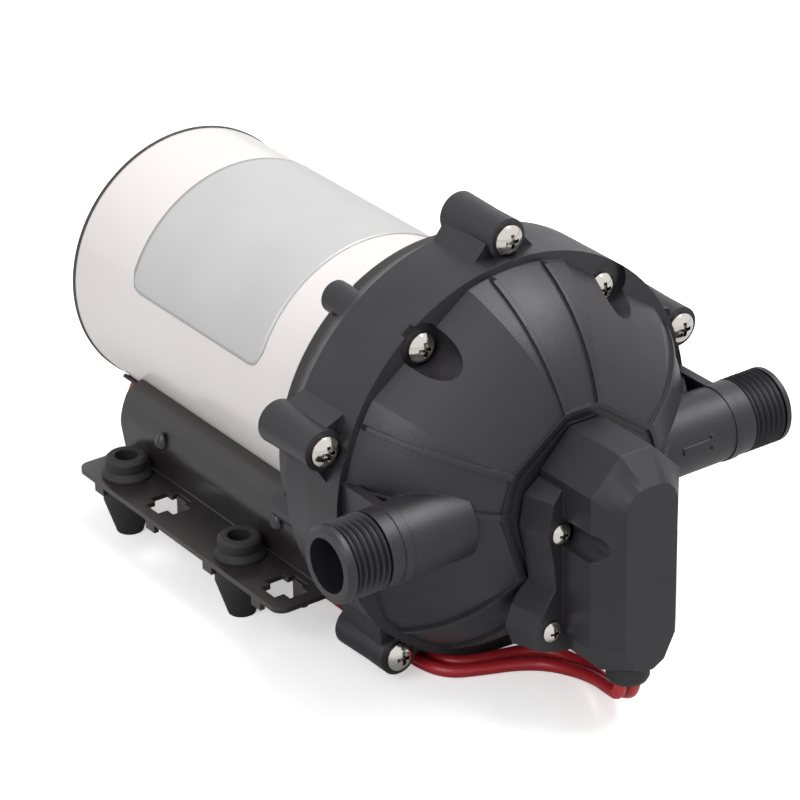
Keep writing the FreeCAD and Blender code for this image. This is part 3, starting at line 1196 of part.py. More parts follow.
base_length = S.base_rear - S.base_front
section = sheet_section()
folded = section.extrude(V(0, base_length.value, 0))
folded.translate(V(0, S.base_front.value, AXIS.value))
base_sheet = made(folded, "base_sheet")
HEAD_CLEAR = CAN_FRONT + 0.6
clearance = [cylinder(S.plate_radius + 4.0, HEAD_CLEAR - S.base_front + 30, 0, S.base_front - 30, AXIS)]
flange_low, flange_high = AXIS - S.flange_drop - 3, AXIS - S.flange_drop + 3
FEET = [(-1, -1), (1, -1), (-1, 1), (1, 1)]
foot_holes = [cylinder(S.foot_hole, 6, sx * S.foot_half_x, sy * S.foot_half_y, flange_low, UPRIGHT)
              for sx, sy in FEET]
OPENINGS = [(sx, y) for sx in (-1, 1) for y in (-51.0, 7.0)]


def flange_opening(sx, y):
    """A keyhole-shaped opening in a flange, as the photo shows between the feet."""
    pieces = []
    for low, high, ylow, yhigh in ((-5.4, 5.6, -3.2, 3.2), (-3.0, 2.6, -6.2, 5.6)):
        ends = sorted([(S.foot_half_x + low) * sx, (S.foot_half_x + high) * sx], key=lambda e: e.value)
        pieces.append(box((ends[0], y + ylow, flange_low), (ends[1], y + yhigh, flange_high), "opening"))
    return pieces


openings = [piece for sx, y in OPENINGS for piece in flange_opening(sx, y)]


def corner(sx, sy):
    """What the round of one flange corner takes away."""
    x = sx * (S.flange_half - S.corner_radius)
    y = (S.base_front if sy < 0 else S.base_rear) - sy * S.corner_radius
    ends_x = (x, x + 20) if sx > 0 else (x - 20, x)
    ends_y = (y, y + 20) if sy > 0 else (y - 20, y)
    square = box((ends_x[0], ends_y[0], flange_low), (ends_x[1], ends_y[1], flange_high))
    return cut(square, [cylinder(S.corner_radius, 10, x, y, flange_low - 2, UPRIGHT)])


corners = [corner(sx, sy) for sx in (-1, 1) for sy in (-1, 1)]
tabs = []
for sx, y in OPENINGS:
    ends = sorted([(S.foot_half_x - 5.6) * sx, (S.foot_half_x - 4.1) * sx], key=lambda e: e.value)
    tabs.append(box((ends[0], y - 2.4, AXIS - S.flange_drop - 6.5),
                    (ends[1], y + 2.4, AXIS - S.flange_drop + half_sheet_steel - 0.2), "tab"))
edge_tabs = []
for sx in (-1, 1):
    for y in (-50.0, -26.0, 3.0, 30.0):
        ends = [sx * (S.flange_half - 1.5), sx * S.flange_half]
        if sx < 0:
            ends.reverse()
        edge_tabs.append(box((ends[0], y - 2.2, AXIS - S.flange_drop - 3.2),
                             (ends[1], y + 2.2, AXIS - S.flange_drop), "edge_tab"))
saddle_holes = [radial(1.7, S.can_radius - 3, 12, 270, y) for y in BRACKET_SCREWS]
wing_holes = []
for sx in (-1, 1):
    for y in (-38.0, 20.0):
        start = S.foot_half_x - 12.0 if sx > 0 else (S.foot_half_x - 3.0) * -1
        wing_holes.append(cylinder(1.6, 9, start, y, AXIS - S.can_radius * 0.776, ALONG_X, "wing_hole"))
part("base_bracket", cut(fuse([cut(base_sheet, clearance + openings + corners + wing_holes)]
                              + tabs + edge_tabs),
                         foot_holes + saddle_holes))
SCREW_SEAT = SADDLE + half_sheet_steel
group("bracket_screws", [fuse([radial(3.3, SCREW_SEAT + 0.02, 2.0, 270, y),
                               radial(1.6, CAN_INNER + 0.05, SCREW_SEAT - CAN_INNER + 0.5, 270, y)])
                         for y in BRACKET_SCREWS])


def foot(sx, sy):
    """A grommet foot: collar and skirt on the flange, a groove in it and a tapered body below."""
    top = AXIS - S.foot_top
    above = AXIS - S.flange_drop + half_sheet_steel + 0.02
    below = AXIS - S.flange_drop - half_sheet_steel - 0.02
    neck = S.foot_hole - 0.05
    body = turned([(S.foot_bore, 0), (S.foot_base, 0), (S.foot_body, below - 6.0), (S.foot_body, below),
                   (neck, below), (neck, above), (S.foot_skirt, above), (S.foot_skirt, above + 0.8),
                   (S.foot_collar - 0.3, above + 2.6), (S.foot_collar, above + 2.8),
                   (S.foot_collar, top - 0.8),
                   (S.foot_collar - 0.8, top), (S.foot_counterbore, top),
                   (S.foot_counterbore, top - S.counterbore_depth), (S.foot_bore, top - S.counterbore_depth)],
                  "foot", sx * S.foot_half_x, sy * S.foot_half_y, 0, "XZ_Plane")
    return body


group("front_feet", [foot(sx, sy) for sx, sy in FEET if sy < 0])
group("rear_feet", [foot(sx, sy) for sx, sy in FEET if sy > 0])

# Pressure switch: cover with ears, carrier, plunger with its spring and adjuster, and a microswitch.
BOX_FULL = NOSE - S.box_depth
BOX_FACE = NOSE - S.box_front
COVER_REAR = NOSE - S.rib_rise / 2 - 0.02


def cover_outline(half, top, bottom, round_top=False):
    """The cover's front view: flat top, shoulders, upright sides and a chamfered foot.

    The shoulders are slanted on the body and round on the front face.
    """
    if round_top:
        turns = [math.radians(18 * k) for k in range(6)]
        right = [(half * (0.3 + 0.7 * math.sin(t)), top - half * 0.85 * (1 - math.cos(t))) for t in turns]
    else:
        right = [(half * (0.35 + 0.13 * k), top - half * 0.13 * k) for k in range(6)]
    right += [(half, -bottom + 8.7), (half - 3.5, -bottom + 1.8), (half - 7.0, -bottom)]
    return [V(x, 0, z) for x, z in right] + [V(-x, 0, z) for x, z in reversed(right)]


def loft_solid(first, last, y_first, y_last):
    """A ruled solid between two outlines at two stations."""
    wires = []
    for points, y in ((first, y_first), (last, y_last)):
        shifted = [V(p.x, y, p.z + AXIS.value) for p in points]
        wires.append(Part.makePolygon(shifted + shifted[:1]))
    return Part.makeLoft(wires, True, True)


def cover_shape(inset):
    """The cover's box, or its hollow where the inset is the wall."""
    half, top, bottom = S.box_half.value - inset, S.box_top.value - inset, S.box_bottom.value - inset
    front = S.front_half.value - inset * 0.55
    full = cover_outline(half, top, bottom)
    face = cover_outline(front, S.box_top.value * 0.68 - inset * 0.4, S.box_bottom.value - 0.8 - inset, True)
    rear = COVER_REAR.value + (5 if inset else 0)
    back = loft_solid(full, full, rear, BOX_FULL.value)
    nose = loft_solid(full, face, BOX_FULL.value, BOX_FACE.value + inset)
    return back.fuse(nose).removeSplitter()


def ear_outline(grow):
    """The outline of both ears and the plate between them, larger at the nose than in front."""
    right = [(15.0, 11.5), (17.6 + grow, 8.0), (19.2 + grow, -0.9), (17.4 + grow, -9.0),
             (16.6 + grow * 0.8, -17.0), (21.0 + grow, -23.6), (23.0 + grow, -29.0),
             (20.6 + grow, -34.2 - grow * 0.6), (13.0, -36.4 - grow * 0.3)]
    return [V(x, 0, z) for x, z in right] + [V(-x, 0, z) for x, z in reversed(right)]


cover_box = made(cover_shape(0.0), "cover_box")
notch_walls = [cylinder(S.notch_radius + S.cover_wall * 0.8, 40, side * S.upper_screw_x, EAR_FACE - 40,
                        AXIS + S.upper_screw_z) for side in (1, -1)]
cover_hollow = cut(made(cover_shape(S.cover_wall.value), "cover_hollow"), notch_walls, "notched_hollow")
ears = made(loft_solid(ear_outline(2.2), ear_outline(0.0), COVER_REAR.value, EAR_FACE.value), "ears")
clear_head = [cylinder(S.notch_radius, 40, side * S.upper_screw_x, EAR_FACE - 40, AXIS + S.upper_screw_z)
              for side in (1, -1)]
clear_head += [cylinder(S.small_head + 0.4, 40, side * S.lower_screw_x, EAR_FACE - 40, AXIS + S.lower_screw_z)
               for side in (1, -1)]
ear_holes = [cylinder(S.small_shank + S.fit_gap, 40, x, EAR_FACE - 1, AXIS + z) for x, z in SWITCH_SCREWS]
BOOT_Y = NOSE - S.boot_forward
boot_hole = cylinder(S.boot_radius - 0.9, 12, 0, BOOT_Y, AXIS - S.box_bottom - 4, UPRIGHT)
clear_posts = [cylinder(3.8, 3, x, NOSE - 2.5, AXIS + z) for x, z in SWITCH_SCREWS]
dome_clear = dome_solid(S.rib_rise + 0.3, SPLIT, S.dome_edge, "dome_clear")
part("switch_cover", cut(fuse([cover_box, ears]),
                         [cover_hollow, boot_hole, dome_clear] + clear_head + ear_holes + clear_posts))

SHEET_SWITCH = 1.2
PAD_FACE = NOSE - S.rib_rise / 2
SWITCH_SEAL = 9.0
part("switch_diaphragm", cylinder(SWITCH_SEAL, SHEET_SWITCH, 0, PAD_FACE - SHEET_SWITCH - 0.02, AXIS))
BASE_REAR = PAD_FACE - 0.02
SEAL_FRONT = PAD_FACE - SHEET_SWITCH - 0.04
BASE_PLATE = BASE_REAR - 4.0
TOWER = SEAL_FRONT - 11.5
PLATE_FOOT = AXIS - 28.4
base_plate = box((-S.box_half + S.cover_wall + 0.3, BASE_PLATE, PLATE_FOOT),
                 (S.box_half - S.cover_wall - 0.3, BASE_REAR, AXIS + 12.0), "switch_plate")
tower = cylinder(S.plunger_radius + 2.0, BASE_REAR - TOWER, 0, TOWER, AXIS, name="tower")
SWITCH_HALF = 3.2
side_wall = box((SWITCH_HALF + 0.02, TOWER - 12.0, AXIS - 27.0),
                (SWITCH_HALF + 3.2, BASE_PLATE + 0.5, AXIS - 9.6),
                "side_wall")
tower_bore = cylinder(S.plunger_radius + S.fit_gap, 20, 0, TOWER - 8, AXIS)
seal_recess = cylinder(SWITCH_SEAL + S.fit_gap, 8, 0, SEAL_FRONT, AXIS)
RIB_ROOM_TOP = AXIS - 21.5
rib_room = box((-S.box_half, NOSE - S.rib_rise - 0.3, AXIS - S.box_bottom), (S.box_half, NOSE, RIB_ROOM_TOP),
               "rib_room")
MICRO_SCREWS = [(TOWER - 9.4, AXIS + z) for z in (-22.5, -13.5)]
part("switch_base", cut(fuse([base_plate, tower, side_wall]),
                        [tower_bore, seal_recess, rib_room]
                        + [cylinder(1.1, 12, -2, y, z, ALONG_X) for y, z in MICRO_SCREWS]))
PLUNGER_REAR = SEAL_FRONT - 0.05
ADJUSTER_REAR = TOWER + 3.4
MICRO_REAR = TOWER - 6.2
LEVER_BACK = MICRO_REAR + 1.35
STEM_TIP = LEVER_BACK + 0.05
part("switch_plunger", turned([(0, PLUNGER_REAR), (S.plunger_radius, PLUNGER_REAR),
                               (S.plunger_radius, PLUNGER_REAR - 2.4),
                               (S.stem_radius + 1.2, PLUNGER_REAR - 2.4),
                               (S.stem_radius, PLUNGER_REAR - 3.2), (S.stem_radius, STEM_TIP + 1.2),
                               (S.stem_radius - 1, STEM_TIP), (0, STEM_TIP)], "plunger"))
adjuster = turned([(S.stem_radius + S.fit_gap, ADJUSTER_REAR), (S.plunger_radius, ADJUSTER_REAR),
                   (S.plunger_radius, TOWER - 0.8), (S.stem_radius + S.fit_gap, TOWER - 0.8)], "adjuster")
part("pressure_adjuster", cut(adjuster, [box((-9, TOWER - 1.5, AXIS - 0.7), (9, TOWER + 0.6, AXIS + 0.7))]))
spring_length = PLUNGER_REAR.value - 2.4 - ADJUSTER_REAR.value
plunger_spring = made(coil_spring(5.0, 0.45, spring_length - 0.2, 4), "plunger_spring")
place(plunger_spring, 0, ADJUSTER_REAR + 0.1, AXIS, ALONG_Y)
part("plunger_spring", plunger_spring)

# Microswitch below the stem: body, button, lever on its pin, two terminals and two screws.
MICRO_FRONT = MICRO_REAR - 6.4
MICRO_TOP, MICRO_BOTTOM = AXIS - 8.5, AXIS - 27.5
HINGE_Z = AXIS - 25.4
BUTTON_Z = AXIS - 17.6
micro_block = box((-SWITCH_HALF, MICRO_FRONT, MICRO_BOTTOM), (SWITCH_HALF, MICRO_REAR, MICRO_TOP),
                  "micro_block")
ears_micro = box((-SWITCH_HALF, MICRO_REAR - 1, HINGE_Z - 1.4),
                 (SWITCH_HALF, LEVER_BACK + 1.1, HINGE_Z + 1.4),
                 "hinge_ears")
LEVER_MIDDLE = LEVER_BACK - 0.2
ear_gap = box((-2.1, MICRO_REAR, HINGE_Z - 2), (2.1, MICRO_REAR + 6, HINGE_Z + 2), "ear_gap")
hinge_pin_hole = cylinder(0.55, 20, -10, LEVER_MIDDLE, HINGE_Z, ALONG_X, "pin_hole")
button_hole = cylinder(1.15, 5, 0, MICRO_REAR - 4, BUTTON_Z)
micro_holes = [cylinder(1.1, 20, -10, y, z, ALONG_X) for y, z in MICRO_SCREWS]
hinge_pin = cylinder(0.5, 2 * SWITCH_HALF, -SWITCH_HALF, LEVER_MIDDLE, HINGE_Z, ALONG_X, "hinge_pin")
micro_shell = cut(fuse([micro_block, ears_micro]), [ear_gap, hinge_pin_hole, button_hole] + micro_holes)
part("microswitch_body", micro_shell)
part("microswitch_button", turned([(0, MICRO_REAR - 3.0), (1.05, MICRO_REAR - 3.0), (1.05, MICRO_REAR + 0.5),
                                   (0.6, MICRO_REAR + 0.9), (0, MICRO_REAR + 0.9)], "button", 0, 0, BUTTON_Z))
lever_blade = box((-1.9, LEVER_BACK - 0.4, HINGE_Z), (1.9, LEVER_BACK, AXIS + 2.4), "lever_blade")
lever_eye = cylinder(1.0, 3.8, -1.9, LEVER_MIDDLE, HINGE_Z, ALONG_X, "lever_eye")
part("microswitch_lever", fuse([lever_blade, lever_eye, hinge_pin]))
TERMINAL_DROP = 3.2
part("microswitch_terminals", fuse([box((side * 1.7 - 1.5, BOOT_Y - 0.3, MICRO_BOTTOM - TERMINAL_DROP),
                                        (side * 1.7 + 1.5, BOOT_Y + 0.3, MICRO_BOTTOM)) for side in (1, -1)]))
group("microswitch_screws", [fuse([cylinder(1.9, 1.2, -SWITCH_HALF - 1.22, y, z, ALONG_X),
                                   cylinder(1.0, 9.2, -SWITCH_HALF - 0.5, y, z, ALONG_X)])
                             for y, z in MICRO_SCREWS])

boot_top = AXIS - S.box_bottom + S.cover_wall
boot = turned([(0, AXIS - S.boot_drop), (S.boot_radius - 0.6, AXIS - S.boot_drop),
               (S.boot_radius, AXIS - S.boot_drop + 1.2), (S.boot_radius, AXIS - S.box_bottom - 0.3),
               (S.boot_radius - 1.0, AXIS - S.box_bottom - 0.3), (S.boot_radius - 1.0, boot_top + 0.9),
               (S.boot_radius - 0.4, boot_top + 0.9), (S.boot_radius - 0.9, boot_top + 1.9),
               (0, boot_top + 1.9)],
              "boot", 0, BOOT_Y, 0, "XZ_Plane")
part("wire_boot", cut(boot, [cylinder(S.wire_radius + 0.05, 20, side * S.wire_half_gap, BOOT_Y,
                                      AXIS - S.boot_drop - 4, UPRIGHT) for side in (1, -1)]))


# Leads: tubes along straight runs with tangent arcs.
def lead_tube(points, radius, label):
    """The tube along a route: each corner is an arc as large as its two runs allow."""
    edges, start, length, radii = [], points[0], 0.0, []
    for before, at, after in zip(points, points[1:], points[2:]):
        incoming, outgoing = (at - before), (after - at)
        reach = 0.45 * min(incoming.Length, outgoing.Length)
        u, w = V(incoming).normalize(), V(outgoing).normalize()
        turn = u.getAngle(w)
        bend = reach / math.tan(turn / 2)
        radii.append(bend)
        enter, leave = at - u * reach, at + w * reach
        bisector = (w - u).normalize()
        middle = at + bisector * (bend / math.cos(turn / 2) - bend)
        edges.append(Part.LineSegment(start, enter).toShape())
        edges.append(Part.Arc(enter, middle, leave).toShape())
        start = leave
    edges.append(Part.LineSegment(start, points[-1]).toShape())
    path = Part.Wire(edges)
    first = V(points[1] - points[0]).normalize()
    profile = Part.Wire(Part.Circle(points[0], first, radius).toShape())
    tube = path.makePipeShell([profile], True, False)
    wanted = math.pi * radius ** 2 * path.Length
    print("%s: length %.1f mm, radii %s, volume over section times length %.5f"
          % (label, path.Length, " ".join("%.1f" % r for r in radii), tube.Volume / wanted))
    return tube


LUG_Y = S.lug_face_y.value
LOW = (S.wire_radius + S.wire_lift).value
HALF, BOOT_BACK = S.wire_half_gap.value, BOOT_Y.value
BOOT_END = (AXIS - S.boot_drop).value


def off_axis(radius, angle, y):
    """A point at a radius and an angle round the pump axis."""
    turn = math.radians(angle)
    return V(radius * math.cos(turn), y, AXIS.value + radius * math.sin(turn))


MOTOR_LEAD = [V(-HALF, BOOT_BACK, BOOT_END), V(-HALF, BOOT_BACK, 9.0), V(-1.8, BOOT_BACK + 6.3, 6.2),
              V(0.4, BOOT_BACK + 14.8, 3.4), V(2.0, LUG_Y - 27.7, LOW), V(0.3, LUG_Y - 19.7, LOW),
              V(-6.5, LUG_Y - 14.2, LOW), V(-15.0, LUG_Y - 10.2, LOW), V(-24.5, LUG_Y - 5.7, LOW),
              V(-27.4, LUG_Y + 4.8, LOW),
              V(-26.6, LUG_Y + 22.0, LOW), V(-25.0, LUG_Y + 48.0, LOW), V(-26.6, LUG_Y + 78.0, LOW),
              V(-24.8, LUG_Y + 104.0, LOW), V(-26.6, LUG_Y + 121.0, 4.0), V(-28.4, LUG_Y + 135.0, 12.5),
              off_axis(S.can_radius.value + 8.7, LEAD_ANGLE, LEAD_Y.value),
              off_axis(CAN_INNER.value - 1.5, LEAD_ANGLE, LEAD_Y.value)]
part("motor_lead", made(lead_tube(MOTOR_LEAD, S.wire_radius.value, "motor_lead"), "motor_lead"))
part("motor_grommet", cut(fuse([radial(3.1, CAN_INNER - 1.2, S.can_wall + 2.2, LEAD_ANGLE, LEAD_Y),
                                radial(4.4, S.can_radius + 0.25, 1.0, LEAD_ANGLE, LEAD_Y)]),
                          [radial(S.wire_radius + 0.05, CAN_INNER - 6, 20, LEAD_ANGLE, LEAD_Y)]))
part("switch_wires", fuse([cylinder(S.wire_radius, MICRO_BOTTOM - TERMINAL_DROP - AXIS + S.boot_drop,
                                    side * S.wire_half_gap, BOOT_Y, AXIS - S.boot_drop, UPRIGHT, "tail")
                           for side in (1, -1)]))

# The supply lead's unseen length is wound into a flat spiral of half turns behind the pump.
COIL_X, COIL_Y = 86.0, 10.0
INNER, STEP = S.coil_radius.value, S.coil_pitch.value / 2
HALF_TURNS = int(round(2 * S.coil_turns.value))
OUTER = INNER + STEP * (HALF_TURNS - 1)
SUPPLY_LEAD = [V(HALF, BOOT_BACK, BOOT_END), V(HALF, BOOT_BACK, 9.0), V(3.2, BOOT_BACK + 6.5, 6.0),
               V(6.8, BOOT_BACK + 15.3, 3.2), V(9.5, LUG_Y - 26.2, LOW), V(7.1, LUG_Y - 16.7, LOW),
               V(1.0, LUG_Y - 10.2, LOW), V(-9.5, LUG_Y - 7.5, LOW), V(-19.5, LUG_Y - 3.5, LOW),
               V(-22.5, LUG_Y + 6.3, LOW),
               V(-21.3, LUG_Y + 24.8, LOW), V(-11.0, LUG_Y + 46.0, LOW), V(9.0, LUG_Y + 61.0, LOW),
               V(34.0, LUG_Y + 69.6, LOW), V(60.5, COIL_Y - OUTER, LOW), V(COIL_X, COIL_Y - OUTER, LOW)]
part("supply_lead", made(lead_tube(SUPPLY_LEAD, S.wire_radius.value, "supply_lead"), "supply_lead"))


def spiral():
    """A flat spiral inwards: half turns about two centres, each half turn a half pitch smaller."""
    edges, points = [], []
    for k in range(HALF_TURNS):
        radius = OUTER - STEP * k
        centre = V(COIL_X, COIL_Y + STEP * (k % 2), LOW)
        side = 1 if k % 2 == 0 else -1
        start, end = centre - V(0, side * radius, 0), centre + V(0, side * radius, 0)
        edges.append(Part.Arc(start, centre + V(side * radius, 0, 0), end).toShape())
        for i in range(60):
            turn = math.pi * (i / 60 + k) - math.pi / 2
            points.append(centre + V(radius * math.cos(turn), radius * math.sin(turn), 0))
    return Part.Wire(edges), points, end


def least_gap(points, radius, skip):
    """The least gap between a tube's turns, measured between points at least some steps apart."""
    return min(a.distanceToPoint(b) for i, a in enumerate(points) for b in points[i + skip:]) - 2 * radius


path, on_path, coil_end = spiral()
wire = S.wire_radius.value
ring_of_wire = Part.Wire(Part.Circle(V(COIL_X, COIL_Y - OUTER, LOW), V(1, 0, 0), wire).toShape())
coil = path.makePipeShell([ring_of_wire], True, False)
print("coil: length %.1f mm, volume over section times length %.5f, least gap %.2f mm"
      % (path.Length, coil.Volume / (math.pi * wire ** 2 * path.Length), least_gap(on_path, wire, 60)))
part("supply_lead_coil", made(coil, "supply_lead_coil"))
part("supply_lead_end", cylinder(S.strand_radius, S.strand_length, coil_end.x, coil_end.y, coil_end.z,
                                 ALONG_X))

# A flat tie holds the turns together on the side away from the lead.
TIE_Y = COIL_Y + STEP
tie_low, tie_high = COIL_X - OUTER + STEP - wire - 0.3, COIL_X - INNER + wire + 0.3
tie_outside = box((tie_low - 0.8, TIE_Y - 1.5, 0.02), (tie_high + 0.8, TIE_Y + 1.5, LOW + wire + 0.9),
                  "tie_outside")
tie_inside = box((tie_low, TIE_Y - 3, S.wire_lift - 0.03), (tie_high, TIE_Y + 3, LOW + wire + 0.2),
                 "tie_inside")
tie_twist = cone(0.9, 0.6, 7.0, tie_low + 2.0, TIE_Y, LOW + wire + 1.0,
                 FreeCAD.Rotation(V(1, 0, 0), 60), "tie_twist")
part("coil_tie", fuse([cut(tie_outside, [tie_inside]), tie_twist]))

# Every object is checked before a sub-part is written.
doc.recompute()
os.makedirs("parts", exist_ok=True)
for thing in doc.Objects:
    if "Invalid" in thing.State or "Error" in thing.State:
        raise RuntimeError("failed: %s (%s) %s" % (thing.Name, thing.Label, thing.State))
for name, thing in parts.items():
    if thing.Shape.isNull() or not thing.Shape.isValid() or not thing.Shape.Solids:
        raise RuntimeError("bad shape: " + name)
for name, thing in parts.items():
    thing.Shape.exportStep("parts/%s.step" % name)
print("%d sub-parts, %d solids" % (len(parts), sum(len(t.Shape.Solids) for t in parts.values())))
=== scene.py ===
# %% [markdown]
# # Dressing a small electric water pump
#
# The pump is twelve volt plumbing gear for a caravan: a round black head with five screwed lugs, a
# threaded port on each side, a white motor can behind, and a folded steel base on rubber feet. The solids
# are already made, so this lesson gives them their finishes, lays the two red leads and sets up a plain
# studio. Each cell does one thing.

import json
import math

import bpy
import numpy as np
from mathutils import Matrix, Vector


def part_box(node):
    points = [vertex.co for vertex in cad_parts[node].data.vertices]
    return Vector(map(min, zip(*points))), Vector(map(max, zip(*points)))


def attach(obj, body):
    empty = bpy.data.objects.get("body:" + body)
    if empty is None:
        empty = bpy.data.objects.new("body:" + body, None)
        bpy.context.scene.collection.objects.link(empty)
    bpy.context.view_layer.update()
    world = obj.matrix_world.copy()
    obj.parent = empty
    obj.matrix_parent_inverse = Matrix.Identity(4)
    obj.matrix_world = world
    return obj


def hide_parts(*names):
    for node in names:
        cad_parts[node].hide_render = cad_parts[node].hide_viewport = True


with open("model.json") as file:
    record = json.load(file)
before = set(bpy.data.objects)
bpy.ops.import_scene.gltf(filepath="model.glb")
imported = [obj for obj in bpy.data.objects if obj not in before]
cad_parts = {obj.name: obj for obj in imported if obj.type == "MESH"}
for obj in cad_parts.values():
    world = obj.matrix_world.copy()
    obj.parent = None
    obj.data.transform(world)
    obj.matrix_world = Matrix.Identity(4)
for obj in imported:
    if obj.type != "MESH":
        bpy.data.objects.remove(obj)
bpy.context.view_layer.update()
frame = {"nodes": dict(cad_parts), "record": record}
nodes = frame["nodes"]
MM = 0.001

# %% [markdown]
# ## The camera
#
# A product photograph like this one is taken from about a metre away with a long lens, so the pump shows
# almost no perspective. The camera could be placed by eye, but the angles come out better from points
# that are known on the object. It stands in front of the head, to the pump's left, and looks down about
# 27 degrees, with a slight roll.

# %% Place the camera
AZIMUTH, HEIGHT, ROLL = math.radians(-35.47), math.radians(27.36), math.radians(-0.89)
LENS, SENSOR, DISTANCE = 163.64, 36.0, 984.75 * MM
TARGET = Vector((-6.86, -48.01, 60.31)) * MM
NEAREST, FARTHEST = 0.05, 20


def camera_turn():
    """Right, up and back of the camera: azimuth about the vertical, then height, then roll about the view."""
    level = math.cos(HEIGHT)
    back = Vector((math.sin(AZIMUTH) * level, -math.cos(AZIMUTH) * level, math.sin(HEIGHT)))
    right = Vector((math.cos(AZIMUTH), math.sin(AZIMUTH), 0))
    up = back.cross(right)
    rolled_right = math.cos(ROLL) * right + math.sin(ROLL) * up
    rolled_up = -math.sin(ROLL) * right + math.cos(ROLL) * up
    return Matrix((rolled_right, rolled_up, back)).transposed(), back


turn, back = camera_turn()
camera = bpy.data.objects.new("photo_camera", bpy.data.cameras.new("photo_camera"))
camera.data.lens, camera.data.sensor_width = LENS, SENSOR
camera.data.clip_start, camera.data.clip_end = NEAREST, FARTHEST
camera.matrix_world = Matrix.Translation(TARGET + back * DISTANCE) @ turn.to_4x4()
bpy.context.scene.collection.objects.link(camera)
bpy.context.scene.camera = camera
print("camera at", [round(c, 3) for c in camera.matrix_world.translation])

# %% [markdown]
# ## Small helpers for every finish
#
# Colours are easiest to choose as the hex numbers of a screen colour, but a shader wants linear light, so
# one function turns them. Another adds a node with its settings and links in a single line, which keeps
# each finish below short enough to read at a glance. The last two open a material and plug the worked-out
# values into it. Some nodes have several sockets of one name, so the sockets of two kinds of node are
# numbered here.

# %% Colours and nodes
# Sockets of a Mix node on colours, with its outlet last, and then those of a Map Range node.
FACTOR, FIRST, SECOND, MIXED = 0, 6, 7, 2
VALUE, FROM_LOW, FROM_HIGH, TO_LOW, TO_HIGH = range(5)


def linear(hex_colour):
    """Screen colour to linear light: the low end is divided by 12.92, the rest raised to the power 2.4."""
    parts = [int(hex_colour[i:i + 2], 16) / 255 for i in (1, 3, 5)]
    return [p / 12.92 if p <= 0.04045 else ((p + 0.055) / 1.055) ** 2.4 for p in parts] + [1.0]


def add(tree, kind, inputs=None, **settings):
    """Adds one node, sets its settings, and gives each input a number, a colour or a socket to follow."""
    node = tree.nodes.new(kind)
    for name, value in settings.items():
        setattr(node, name, value)
    for name, value in (inputs or {}).items():
        if isinstance(value, bpy.types.NodeSocket):
            tree.links.new(value, node.inputs[name])
        else:
            node.inputs[name].default_value = value
    return node


def start(name, **fixed):
    """A new material with its shader; underscores in the names of the fixed values stand for spaces."""
    material = bpy.data.materials.new(name)
    material.use_nodes = True
    shader = material.node_tree.nodes["Principled BSDF"]
    for key, value in fixed.items():
        shader.inputs[key.replace("_", " ")].default_value = value
    return material, material.node_tree, shader


def plug(tree, shader, **sockets):
    """Lets inputs of a shader follow other sockets, with underscores for spaces as above."""
    for key, socket in sockets.items():
        tree.links.new(socket, shader.inputs[key.replace("_", " ")])


print("helpers ready, mid grey is", round(linear("#808080")[0], 3))


# %% [markdown]
# ## The pattern that most finishes share
#
# Nearly every real surface has three things: a colour that drifts a little from place to place, a gloss
# that does the same, and a fine relief left by the mould, the press or the brush. Edges are also never
# knife sharp, which matters most on black parts, because their edges are what catches the light. A bevel
# on thousands of small solid edges would be fragile, so the shader rounds the light over them instead.

# %% One recipe for a surface
CLOUD_LOW, CLOUD_HIGH, CLOUD_DETAIL, GRIT_DETAIL = 0.3, 0.7, 5.0, 3.0
ROUNDING_SAMPLES = 4
WEAR_STARTS, WEAR_FULL, WEAR_STRENGTH = 0.985, 0.80, 1.6


